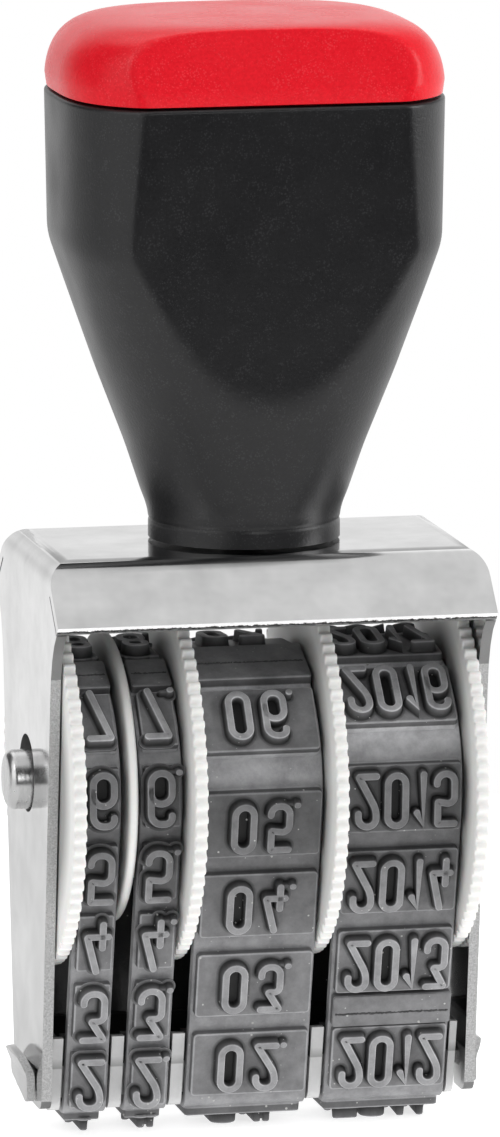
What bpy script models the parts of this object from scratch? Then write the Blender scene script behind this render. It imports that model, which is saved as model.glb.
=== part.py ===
"""Band date stamp: plastic grip, steel frame, four thumb wheels and four rubber type bands.

Metres, +Z up. The axle runs along X and the front faces -Y. The origin is under the middle
of the frame, in the plane of the type faces that print.
"""

import math

import bmesh
import bpy
from mathutils import Matrix, Vector

# Clearances
SEAT_GAP = 0.0003       # between pieces that rest on each other
RUNNING_GAP = 0.0002    # beside and inside the turning wheels
SLIT_GAP = 0.00025      # between each skirt's end and the side plate behind it
OVERRUN = 0.0020        # how far a cutter passes the surface it cuts

# Steel frame
SHEET = 0.0010
TOP_CLEARANCE = 0.00385   # between the thumb discs and the top plate
TOP_DEPTH = 0.0202
SKIRT_REACH = 0.0058
SKIRT_DROP = 0.00555
BEND_RADIUS = 0.0018
SIDE_FOOT_HEIGHT = 0.0030
SIDE_FOOT_DEPTH = 0.0134
SIDE_FOOT_RADIUS = 0.0015
SIDE_WAIST_DEPTH = 0.0228
SIDE_WAIST_RISE = 0.0059   # above the axle
SLIT_TOP_DROP = 0.0023
AXLE_HOLE_RADIUS = 0.0038

# Axle and wheels
AXLE_HEIGHT = 0.0345
AXLE_RADIUS = 0.0029
AXLE_END = 0.0021
AXLE_DOME = 0.0008
DISC_RADIUS = 0.0181
DISC_THICKNESS = 0.0012
KNURL_DEPTH = 0.0005
KNURL_TEETH = 84
DRUM_RADIUS = 0.0110
DRUM_WALL = 0.0013
HUB_FACE_DROP = 0.0002
HUB_WALL = 0.0015
NARROW_DRUM = 0.0046
WIDE_DRUM = 0.0124
DIVIDER_RADIUS = 0.0142
DIVIDER_THICKNESS = 0.0010

# Rubber bands
BAND_BASE = 0.0012
PAD_RELIEF = 0.0009
TYPE_RELIEF = 0.0011
BAND_SIDE_GAP = 0.0002
PAD_MARGIN = 0.0003
NARROW_PAD_GAP = 0.00148    # along the band, between one pad and the next
WIDE_PAD_GAP = 0.00181
DAY_TYPE_REST = 0.0003      # length of a pad that its type leaves free
DAY_TYPE_WIDTH = 0.0027
MONTH_TYPE_REST = 0.0015
MONTH_TYPE_WIDTH = 0.0025
MONTH_SPACING = 0.0010
YEAR_TYPE_REST = 0.0011
YEAR_TYPE_WIDTH = 0.0024
YEAR_SPACING = 0.0005
TYPE_STROKE = 0.00065
TYPE_SINK = 0.0006
DOT_SIZE = 0.0006
DOT_GAP = 0.0001
SPLICE_CLEARANCE = 0.00025  # between the splice's bar and the pads beside it
SPLICE_RELIEF = 0.0012
SPLICE_SPREAD = 0.0019
NARROW_SLOTS = 15
WIDE_SLOTS = 13

# Bridge and its bar
FOOT_FLAT = 0.0062
FOOT_CORNER = 0.0012
BRIDGE_TOP = 0.0100
BRIDGE_SLACK = 0.0003
RIB_RISE = 0.0003
BAR_FLOOR = 0.0011
BAR_DEPTH = 0.0040
BAR_THICKNESS = 0.0012
TAB_SHEET = 0.0008
TAB_OFFSET = 0.0005
TAB_DEPTH = 0.0080
TAB_BOTTOM = 0.0030
TAB_TOP = 0.0078
TAB_FLARE_HEIGHT = 0.0014
TAB_FLARE = 0.0007
TAB_CORNER = 0.0012

# Grip and cap
GRIP_LENGTH = 0.04375      # from the top plate to the seam
SHOULDER_DROP = 0.0142
COLLAR_HEIGHT = 0.0031
NECK_RADIUS = 0.0093
SEAM_WIDTH = 0.0373
SHOULDER_INSET = 0.0005     # how much narrower the grip is at its shoulder
GRIP_DEPTH = 0.0344
PANEL_DEPTH = 0.0296
PANEL_SLOPE = math.radians(4.5)
GRIP_WALL = 0.0019
CAP_HEIGHT = 0.0074
CAP_WALL = 0.0018
FACET_SLOPE = math.radians(21.8)
PLUG_DEPTH = 0.0040
PLUG_WALL = 0.0014

# Sizes that follow from the ones above
TOP_HEIGHT = AXLE_HEIGHT + DISC_RADIUS + TOP_CLEARANCE + SHEET
SEAM_HEIGHT = TOP_HEIGHT + GRIP_LENGTH
SHOULDER_HEIGHT = SEAM_HEIGHT - SHOULDER_DROP
SHOULDER_WIDTH = SEAM_WIDTH - SHOULDER_INSET

# Screw that holds the grip to the frame
SCREW_RADIUS = 0.0019
SCREW_LENGTH = 0.0140
SCREW_TIP = 0.0015
SCREW_HEAD_RADIUS = 0.0036
SCREW_HEAD = 0.0019
SCREW_SLOT = 0.0009
WASHER_RADIUS = 0.0043
WASHER_THICKNESS = 0.0005
BOSS_WALL = 0.0020

# Shape shares. Each grip pair is the share of the height from collar to shoulder, and the
# share of the growth from neck to shoulder. Each cap pair is the share of the width kept,
# and the share of the cap's height.
GRIP_SHARES = ((0.0, 0.0), (0.04, 0.055), (0.24, 0.24), (0.52, 0.54), (0.84, 0.85), (1.0, 1.0))
CAP_SHARES = ((1.0, 0.0), (0.99, 0.32), (0.965, 0.53), (0.92, 0.71), (0.85, 0.85),
              (0.76, 0.935), (0.62, 0.985), (0.30, 1.0))
SQUARENESS = 3.0        # exponent of the grip's rounded outline; 2 is an ellipse
CAVITY_SQUARENESS = 4.0

# The flare of a side plate between its waist and the skirt: shares of the way up, and of
# the way out.
FLARE_SHARES = ((0.33, 0.11), (0.56, 0.23), (0.75, 0.42), (0.90, 0.69))

# Centre lines of the type, as shares of the width and height that they span. A closed line
# is marked True.
GLYPH_SHARES = {
    "0": [(True, ((0.0, 0.18), (0.22, 0.0), (0.78, 0.0), (1.0, 0.18),
                  (1.0, 0.82), (0.78, 1.0), (0.22, 1.0), (0.0, 0.82)))],
    "1": [(False, ((0.0, 0.74), (0.75, 1.0), (0.75, 0.0)))],
    "2": [(False, ((0.0, 0.80), (0.18, 1.0), (0.82, 1.0), (1.0, 0.80), (0.92, 0.58),
                   (0.0, 0.0), (1.0, 0.0)))],
    "3": [(False, ((0.05, 1.0), (1.0, 1.0), (0.42, 0.60), (0.80, 0.55), (1.0, 0.34),
                   (0.82, 0.0), (0.20, 0.0), (0.0, 0.15)))],
    "4": [(False, ((0.50, 1.0), (0.0, 0.26), (1.0, 0.26))),
          (False, ((0.72, 0.50), (0.72, 0.0)))],
    "5": [(False, ((0.95, 1.0), (0.05, 1.0), (0.05, 0.60), (0.75, 0.60), (1.0, 0.42),
                   (1.0, 0.18), (0.78, 0.0), (0.20, 0.0), (0.0, 0.15)))],
    "6": [(True, ((0.0, 0.18), (0.22, 0.0), (0.78, 0.0), (1.0, 0.18),
                  (1.0, 0.40), (0.78, 0.58), (0.22, 0.58), (0.0, 0.40))),
          (False, ((0.0, 0.30), (0.0, 0.80), (0.25, 1.0), (0.75, 1.0), (0.98, 0.84)))],
    "7": [(False, ((0.0, 1.0), (1.0, 1.0), (0.25, 0.0)))],
    "8": [(True, ((0.0, 0.18), (0.22, 0.0), (0.78, 0.0), (1.0, 0.18),
                  (1.0, 0.36), (0.78, 0.53), (0.22, 0.53), (0.0, 0.36))),
          (True, ((0.06, 0.70), (0.26, 0.53), (0.74, 0.53), (0.94, 0.70),
                  (0.94, 0.84), (0.74, 1.0), (0.26, 1.0), (0.06, 0.84)))],
    "9": [(True, ((1.0, 0.82), (0.78, 1.0), (0.22, 1.0), (0.0, 0.82),
                  (0.0, 0.60), (0.22, 0.42), (0.78, 0.42), (1.0, 0.60))),
          (False, ((1.0, 0.70), (1.0, 0.20), (0.75, 0.0), (0.25, 0.0), (0.02, 0.16)))],
}
ONE_WIDTH_SHARE = 0.6    # the figure 1 takes this much of another figure's width
SHARP_TURN = math.radians(70)   # a stroke that turns by more than this has its corner cut off

# Facets of round shapes
ROUND_STEPS = 24
GRIP_STEPS = 48
DIVIDER_STEPS = 40
FILLET_STEPS = 4

# What a band carries, from the place that prints, up the front and over the wheel
NARROW_LABELS = list("1234567890123")
MONTH_LABELS = ["%02d" % month for month in range(1, 13)]
YEAR_LABELS = [str(year) for year in range(2011, 2023)]


for old_object in list(bpy.data.objects):
    bpy.data.objects.remove(old_object, do_unlink=True)

parts = bpy.data.collections.new("date_stamp")
cutters = bpy.data.collections.new("date_stamp_cutters")
bpy.context.scene.collection.children.link(parts)
bpy.context.scene.collection.children.link(cutters)

# Turn a flat outline so that its depth runs along X (outline in Y and Z) or along Y
# (outline in X and Z).
ALONG_X = Matrix(((0, 0, 1, 0), (1, 0, 0, 0), (0, 1, 0, 0), (0, 0, 0, 1)))
ALONG_Y = Matrix(((1, 0, 0, 0), (0, 0, -1, 0), (0, 1, 0, 0), (0, 0, 0, 1)))


def material(name, colour, roughness, metallic=0.0):
    """A Principled material with one colour."""
    made = bpy.data.materials.new(name)
    made.use_nodes = True
    shader = made.node_tree.nodes["Principled BSDF"]
    shader.inputs["Base Color"].default_value = (*colour, 1.0)
    shader.inputs["Roughness"].default_value = roughness
    shader.inputs["Metallic"].default_value = metallic
    return made


BLACK_PLASTIC = material("black_grained_plastic", (0.012, 0.012, 0.014), 0.45)
RED_PLASTIC = material("red_satin_plastic", (0.72, 0.012, 0.025), 0.35)
CHROME = material("chromed_steel", (0.82, 0.83, 0.85), 0.08, 1.0)
STEEL = material("bright_steel", (0.65, 0.66, 0.68), 0.2, 1.0)
WHITE_PLASTIC = material("white_plastic", (0.86, 0.86, 0.84), 0.4)
BRIDGE_PLASTIC = material("bridge_plastic", (0.6, 0.6, 0.6), 0.45)
RUBBER = material("grey_rubber", (0.14, 0.14, 0.145), 0.6)


def add_part(name, mesh, surface):
    """Put a finished mesh into the parts collection under its own name."""
    part = bpy.data.objects.new(name, mesh)
    mesh.name = name
    mesh.materials.clear()
    mesh.materials.append(surface)
    parts.objects.link(part)
    return part


def add_cutter(name, mesh):
    """Put a mesh that cuts or joins another into the cutters collection."""
    cutter = bpy.data.objects.new(name, mesh)
    cutter.hide_render = True
    cutter.display_type = "WIRE"
    cutters.objects.link(cutter)
    return cutter


def combine(target, mesh, operation, name):
    """Cut, join or intersect a part with a mesh, by a live Boolean."""
    step = target.modifiers.new(name, "BOOLEAN")
    step.operation = operation
    step.solver = "EXACT"
    step.object = add_cutter(target.name + "_" + name, mesh)
    step.object.matrix_world = target.matrix_world
    return target


def baked(obj):
    """The mesh that an object shows with its modifiers, welded; the object is removed."""
    evaluated = obj.evaluated_get(bpy.context.evaluated_depsgraph_get())
    mesh = bpy.data.meshes.new_from_object(evaluated)
    mesh.transform(obj.matrix_world)
    bpy.data.objects.remove(obj, do_unlink=True)
    work = bmesh.new()
    work.from_mesh(mesh)
    bmesh.ops.remove_doubles(work, verts=work.verts, dist=SHEET / 1000)
    bmesh.ops.recalc_face_normals(work, faces=work.faces)
    work.to_mesh(mesh)
    work.free()
    mesh.shade_flat()
    return mesh


def prism(loops, low, high, turn=None):
    """A flat outline with holes, extruded from low to high: a filled 2D curve, baked."""
    outline = bpy.data.curves.new("outline", "CURVE")
    outline.dimensions = "2D"
    outline.fill_mode = "BOTH"
    outline.extrude = (high - low) / 2
    for loop in loops:
        spline = outline.splines.new("POLY")
        spline.points.add(len(loop) - 1)
        spline.use_cyclic_u = True
        for point, (across, up) in zip(spline.points, loop):
            point.co = (across, up, 0, 1)
    shape = bpy.data.objects.new("outline", outline)
    cutters.objects.link(shape)
    bpy.context.view_layer.update()
    mesh = baked(shape)
    bpy.data.curves.remove(outline)
    mesh.transform(Matrix.Translation((0, 0, (low + high) / 2)))
    if turn is not None:
        mesh.transform(turn)
    return mesh


def turned(profile, turn=None, steps=ROUND_STEPS):
    """A profile of (radius, height) turned about Z by a Screw modifier, baked."""
    mesh = bpy.data.meshes.new("profile")
    points = [(radius, 0, height) for radius, height in profile]
    count = len(points)
    closed = profile[0][0] > 0 and profile[-1][0] > 0
    last = count if closed else count - 1
    mesh.from_pydata(points, [(i, (i + 1) % count) for i in range(last)], [])
    shape = bpy.data.objects.new("profile", mesh)
    cutters.objects.link(shape)
    screw = shape.modifiers.new("turn", "SCREW")
    screw.angle = 2 * math.pi
    screw.steps = steps
    screw.render_steps = steps
    screw.use_merge_vertices = True
    screw.merge_threshold = SHEET / 1000
    bpy.context.view_layer.update()
    result = baked(shape)
    bpy.data.meshes.remove(mesh)
    if turn is not None:
        result.transform(turn)
    return result


def circle(radius, steps=ROUND_STEPS, centre=(0, 0)):
    """Points round a circle."""
    return [(centre[0] + radius * math.cos(2 * math.pi * i / steps),
             centre[1] + radius * math.sin(2 * math.pi * i / steps)) for i in range(steps)]


def rectangle(half_width, low, high):
    """Corners of a rectangle that is centred across."""
    return [(-half_width, low), (half_width, low), (half_width, high), (-half_width, high)]


def filleted(points, radii, closed=False):
    """An outline with each corner rounded by an arc that touches both of its sides."""
    result = []
    count = len(points)
    for i, (point, radius) in enumerate(zip(points, radii)):
        is_end = not closed and i in (0, count - 1)
        if radius == 0 or is_end:
            result.append(tuple(point))
            continue
        corner = Vector(point)
        back = (Vector(points[i - 1]) - corner).normalized()
        ahead = (Vector(points[(i + 1) % count]) - corner).normalized()
        half_angle = back.angle(ahead) / 2
        centre = corner + (back + ahead).normalized() * radius / math.sin(half_angle)
        start = corner + back * radius / math.tan(half_angle) - centre
        end = corner + ahead * radius / math.tan(half_angle) - centre
        sweep = start.angle_signed(end)
        for step in range(FILLET_STEPS + 1):
            arm = start.copy()
            arm.rotate(Matrix.Rotation(-sweep * step / FILLET_STEPS, 2))
            result.append(tuple(centre + arm))
    return result


def offset_line(points, distance, closed=False):
    """A line shifted sideways to its left, with mitred corners. The outside of a sharp corner
    is cut off square instead."""
    result = []
    count = len(points)
    for i in range(count):
        here = Vector(points[i])
        before = Vector(points[i - 1]) if closed or i > 0 else None
        after = Vector(points[(i + 1) % count]) if closed or i < count - 1 else None
        directions = []
        if before is not None:
            directions.append((here - before).normalized())
        if after is not None:
            directions.append((after - here).normalized())
        normals = [Vector((-way.y, way.x)) for way in directions]
        turn = directions[-1].angle_signed(directions[0])
        if abs(turn) > SHARP_TURN and turn * distance < 0:
            square = abs(distance) * math.tan(abs(turn) / 4)
            result.append(tuple(here + normals[0] * distance + directions[0] * square))
            result.append(tuple(here + normals[1] * distance - directions[1] * square))
            continue
        normal = sum(normals, Vector((0, 0))).normalized()
        reach = distance / normal.dot(normals[0])
        result.append(tuple(here + normal * reach))
    return result


def sheet_outline(path, thickness):
    """The closed outline of bent sheet: a path and the same path shifted to its right."""
    return list(path) + offset_line(path, -thickness)[::-1]


def loft(rings):
    """A closed skin through rings of equal count, with a flat face at each end."""
    work = bmesh.new()
    rows = [[work.verts.new(point) for point in ring] for ring in rings]
    count = len(rings[0])
    for lower, upper in zip(rows, rows[1:]):
        for i in range(count):
            j = (i + 1) % count
            work.faces.new((lower[i], lower[j], upper[j], upper[i]))
    work.faces.new(rows[0][::-1])
    work.faces.new(rows[-1])
    bmesh.ops.recalc_face_normals(work, faces=work.faces)
    mesh = bpy.data.meshes.new("loft")
    work.to_mesh(mesh)
    work.free()
    return mesh


def rounded_ring(half_width, half_depth, exponent, height):
    """A level superellipse: an ellipse that squares up as its exponent grows."""
    ring = []
    for i in range(GRIP_STEPS):
        angle = 2 * math.pi * i / GRIP_STEPS
        across, along = math.cos(angle), math.sin(angle)
        ring.append((half_width * math.copysign(abs(across) ** (2 / exponent), across),
                     half_depth * math.copysign(abs(along) ** (2 / exponent), along), height))
    return ring


def smooth(part, degrees=35.0):
    """Shade a round piece smooth, with its real edges kept sharp."""
    part.data.shade_smooth()
    part.data.set_sharp_from_angle(angle=math.radians(degrees))


# Places along the axle, from the left plate to the right one
def stack_from(start, sizes):
    """Places where each of a row of sizes ends, from a start."""
    places = [start]
    for size in sizes:
        places.append(places[-1] + size)
    return places


STACK = [RUNNING_GAP, DISC_THICKNESS, NARROW_DRUM, RUNNING_GAP, DIVIDER_THICKNESS, RUNNING_GAP,
         NARROW_DRUM, DISC_THICKNESS, RUNNING_GAP, WIDE_DRUM, DISC_THICKNESS, RUNNING_GAP,
         WIDE_DRUM, DISC_THICKNESS, RUNNING_GAP]
INNER_WIDTH = sum(STACK)
PLACES = stack_from(-INNER_WIDTH / 2, STACK)
HALF_INNER = INNER_WIDTH / 2
HALF_WIDTH = HALF_INNER + SHEET

# Each wheel: name, its disc's left face, its drum's left face, drum width
WHEELS = (("tens", PLACES[1], PLACES[2], NARROW_DRUM),
          ("units", PLACES[7], PLACES[6], NARROW_DRUM),
          ("month", PLACES[10], PLACES[9], WIDE_DRUM),
          ("year", PLACES[13], PLACES[12], WIDE_DRUM))


# The line that a band follows, at the middle of its base: flat under the bridge's foot,
# round the foot's corner, straight up to the drum and over it.
LINE_BOTTOM = TYPE_RELIEF + PAD_RELIEF + BAND_BASE / 2
LINE_RADIUS = DRUM_RADIUS + SEAT_GAP + BAND_BASE / 2
CORNER_RISE = AXLE_HEIGHT - LINE_BOTTOM - FOOT_CORNER
CENTRES_APART = math.hypot(FOOT_FLAT / 2, CORNER_RISE)
STRAND_SLOPE = (math.asin((LINE_RADIUS - FOOT_CORNER) / CENTRES_APART)
                - math.atan2(FOOT_FLAT / 2, CORNER_RISE))
CORNER_RUN = FOOT_CORNER * (math.pi / 2 - STRAND_SLOPE)
STRAND_RUN = math.sqrt(CENTRES_APART ** 2 - (LINE_RADIUS - FOOT_CORNER) ** 2)
DRUM_RUN = LINE_RADIUS * (math.pi / 2 + STRAND_SLOPE)
BAND_LENGTH = 2 * (FOOT_FLAT / 2 + CORNER_RUN + STRAND_RUN + DRUM_RUN)
FIRST_BENDS = stack_from(FOOT_FLAT / 2, (CORNER_RUN, STRAND_RUN))


def band_frame(run):
    """Point on the band's line and its outward normal, in Y and Z, at a length run from the
    middle of the foot, up the front."""
    run = run % BAND_LENGTH
    side = -1
    if run > BAND_LENGTH / 2:
        run = BAND_LENGTH - run
        side = 1
    corner_centre = Vector((FOOT_FLAT / 2, LINE_BOTTOM + FOOT_CORNER))
    if run <= FIRST_BENDS[0]:
        point = Vector((run, LINE_BOTTOM))
        normal = Vector((0, -1))
    elif run <= FIRST_BENDS[1]:
        angle = (run - FIRST_BENDS[0]) / FOOT_CORNER
        normal = Vector((math.sin(angle), -math.cos(angle)))
        point = corner_centre + normal * FOOT_CORNER
    elif run <= FIRST_BENDS[2]:
        normal = Vector((math.cos(STRAND_SLOPE), -math.sin(STRAND_SLOPE)))
        along = Vector((math.sin(STRAND_SLOPE), math.cos(STRAND_SLOPE)))
        point = corner_centre + normal * FOOT_CORNER + along * (run - FIRST_BENDS[1])
    else:
        angle = (run - FIRST_BENDS[2]) / LINE_RADIUS - STRAND_SLOPE
        normal = Vector((math.cos(angle), math.sin(angle)))
        point = Vector((0, AXLE_HEIGHT)) + normal * LINE_RADIUS
    return Vector((side * point.x, point.y)), Vector((side * normal.x, normal.y))


def band_line(start, end, out):
    """Points of the band's line from start to end, shifted outward, with a point at each
    bend and every few degrees of arc."""
    corner_steps = 3
    drum_steps = 9
    stops = [FIRST_BENDS[0] + CORNER_RUN * i / corner_steps for i in range(corner_steps)]
    stops += [FIRST_BENDS[1]]
    stops += [FIRST_BENDS[2] + DRUM_RUN * i / drum_steps for i in range(drum_steps)]
    stops += [BAND_LENGTH / 2] + [BAND_LENGTH - stop for stop in reversed(stops)]
    laps = [stop + lap * BAND_LENGTH for lap in (-1, 0, 1) for stop in stops]
    close = BAND_BASE / 10
    inside = sorted({stop for stop in laps if start + close < stop < end - close})
    points = []
    for run in [start] + inside + [end]:
        point, normal = band_frame(run)
        shifted = tuple(point + normal * out)
        if not points or (Vector(shifted) - Vector(points[-1])).length > close / 10:
            points.append(shifted)
    return points


def block_outline(place, length, top):
    """End view of a flat block on the band, from the middle of its base up to its top."""
    point, normal = band_frame(place)
    along = Vector((-normal.y, normal.x)) * length / 2
    lift = normal * top
    return [tuple(point - along), tuple(point + along), tuple(point + along + lift),
            tuple(point - along + lift)]


def type_places(count, slots, splice_after):
    """Run of each label's middle: one slot apart, and a little more past the splice."""
    pitch = BAND_LENGTH / slots
    return [pitch * i + (SPLICE_SPREAD if i > splice_after else 0) for i in range(count)]


def figure_width(figure, width):
    """Width of one figure in a type of this width."""
    return width * (ONE_WIDTH_SHARE if figure == "1" else 1)


def glyph(figure, width, height):
    """One raised figure, flat, centred, standing from minus TYPE_SINK to TYPE_RELIEF."""
    span = Vector((figure_width(figure, width) - TYPE_STROKE, height - TYPE_STROKE))
    strokes = []
    for closed, shares in GLYPH_SHARES[figure]:
        line = [((x - 0.5) * span.x, (y - 0.5) * span.y) for x, y in shares]
        left = offset_line(line, TYPE_STROKE / 2, closed)
        right = offset_line(line, -TYPE_STROKE / 2, closed)
        loops = [left, right] if closed else [left + right[::-1]]
        strokes.append(prism(loops, -TYPE_SINK, TYPE_RELIEF))
    if len(strokes) == 1:
        return strokes[0]
    shape = bpy.data.objects.new("glyph", strokes[0])
    cutters.objects.link(shape)
    other = bpy.data.objects.new("stroke", strokes[1])
    cutters.objects.link(other)
    union = shape.modifiers.new("union", "BOOLEAN")
    union.operation = "UNION"
    union.solver = "EXACT"
    union.object = other
    bpy.context.view_layer.update()
    mesh = baked(shape)
    bpy.data.objects.remove(other, do_unlink=True)
    clean = bmesh.new()
    clean.from_mesh(mesh)
    bmesh.ops.dissolve_limit(clean, angle_limit=math.radians(1), verts=clean.verts,
                             edges=clean.edges)
    bmesh.ops.triangulate(clean, faces=clean.faces)
    bmesh.ops.dissolve_degenerate(clean, dist=SHEET / 1000, edges=clean.edges)
    clean.to_mesh(mesh)
    clean.free()
    return mesh


def type_mesh(middle, labels, places, size, dotted):
    """All the raised type of one band as one mesh. Its size is the figures' width, height and
    spacing. The type is a mirror image, with its top towards the place that prints."""
    width, height, spacing = size
    work = bmesh.new()
    surface_out = BAND_BASE / 2 + PAD_RELIEF
    glyphs = {figure: glyph(figure, width, height) for figure in set("".join(labels))}
    dot = prism([rectangle(DOT_SIZE / 2, -DOT_SIZE / 2, DOT_SIZE / 2)], -TYPE_SINK, TYPE_RELIEF)
    for label, place in zip(labels, places):
        point, normal = band_frame(place)
        point = point + normal * surface_out
        upward = Vector((-normal.y, normal.x))
        stand = Matrix(((1, 0, 0, 0),
                        (0, -upward.x, normal.x, point.x),
                        (0, -upward.y, normal.y, point.y),
                        (0, 0, 0, 1)))
        if upward.dot(band_frame(place + BAND_BASE)[0] - band_frame(place)[0]) < 0:
            stand = stand @ Matrix.Scale(-1, 4, (0, 1, 0))
        widths = [figure_width(figure, width) for figure in label]
        block = sum(widths) + spacing * (len(label) - 1)
        if dotted:
            block += DOT_GAP + DOT_SIZE
        left = middle - block / 2
        for figure, across in zip(label, widths):
            copy = glyphs[figure].copy()
            copy.transform(stand @ Matrix.Translation((left + across / 2, 0, 0)))
            work.from_mesh(copy)
            bpy.data.meshes.remove(copy)
            left += across + spacing
        if dotted:
            copy = dot.copy()
            dot_place = (middle + (block - DOT_SIZE) / 2, (DOT_SIZE - height) / 2, 0)
            copy.transform(stand @ Matrix.Translation(dot_place))
            work.from_mesh(copy)
            bpy.data.meshes.remove(copy)
    bmesh.ops.recalc_face_normals(work, faces=work.faces)
    mesh = bpy.data.meshes.new("type")
    work.to_mesh(mesh)
    work.free()
    return mesh


def weld(part, name):
    """Merge the near-double points that a Boolean can leave."""
    step = part.modifiers.new(name, "WELD")
    step.merge_threshold = SHEET / 1000


def make_band(name, drum_left, drum_width, labels, slots, pad_gap, splice_after, size,
              dotted):
    """One rubber band: a thin endless base, a raised pad for each label, the type on it and
    the bar where its ends are joined."""
    low = drum_left + BAND_SIDE_GAP
    high = drum_left + drum_width - BAND_SIDE_GAP
    places = type_places(len(labels), slots, splice_after)
    pad_length = BAND_LENGTH / slots - pad_gap
    splice_length = pad_gap + SPLICE_SPREAD - 2 * SPLICE_CLEARANCE
    first = FIRST_BENDS[0]
    outer = band_line(first, first + BAND_LENGTH, BAND_BASE / 2)[:-1]
    inner = band_line(first, first + BAND_LENGTH, -BAND_BASE / 2)[:-1]
    band = add_part(name, prism([outer, inner], low, high, ALONG_X), RUBBER)

    splice = (places[splice_after] + places[splice_after + 1]) / 2
    blocks = [(place, pad_length, PAD_RELIEF, PAD_MARGIN) for place in places]
    blocks.append((splice, splice_length, SPLICE_RELIEF, PAD_MARGIN / 2))
    raised = bmesh.new()
    for place, length, relief, margin in blocks:
        outline = block_outline(place, length, BAND_BASE / 2 + relief)
        block = prism([outline], low + margin, high - margin, ALONG_X)
        raised.from_mesh(block)
        bpy.data.meshes.remove(block)
    block_mesh = bpy.data.meshes.new("pads")
    raised.to_mesh(block_mesh)
    raised.free()
    combine(band, block_mesh, "UNION", "pads")
    weld(band, "weld_pads")

    figures = type_mesh((low + high) / 2, labels, places, size, dotted)
    combine(band, figures, "UNION", "type")
    weld(band, "weld_type")
    return band


def make_wheel(name, disc_left, drum_left, drum_width):
    """One wheel: a knurled thumb disc moulded with the cored drum that carries the band. The
    drum is open on the side away from the disc."""
    bore = AXLE_RADIUS + RUNNING_GAP
    recess = DRUM_RADIUS - DRUM_WALL
    knurl = []
    for i in range(2 * KNURL_TEETH):
        radius = DISC_RADIUS - (KNURL_DEPTH if i % 2 else 0)
        angle = math.pi * i / KNURL_TEETH
        knurl.append((radius * math.cos(angle), radius * math.sin(angle)))
    disc = prism([knurl, circle(recess)], disc_left, disc_left + DISC_THICKNESS, ALONG_X)

    hub = bore + HUB_WALL
    drum_right = drum_left + drum_width
    if disc_left < drum_left:
        near, floor, far = disc_left + HUB_FACE_DROP, drum_left + DRUM_WALL, drum_right
    else:
        near = disc_left + DISC_THICKNESS - HUB_FACE_DROP
        floor, far = drum_right - DRUM_WALL, drum_left
    profile = [(DRUM_RADIUS, far), (DRUM_RADIUS, near), (bore, near), (bore, far), (hub, far),
               (hub, floor), (recess, floor), (recess, far)]
    wheel = add_part(name + "_wheel", disc, WHITE_PLASTIC)
    combine(wheel, turned(profile, ALONG_X), "UNION", "drum")
    return wheel


def on_axle(part):
    """Give a piece its origin on the axle, at its place in the row, without moving it."""
    corners = [Vector(corner).x for corner in part.bound_box]
    middle = Vector(((min(corners) + max(corners)) / 2, 0, 0))
    targets = [part] + [step.object for step in part.modifiers if step.type == "BOOLEAN"]
    for item in targets:
        item.data.transform(Matrix.Translation(-middle))
        item.location = middle + Vector((0, 0, AXLE_HEIGHT))


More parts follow.
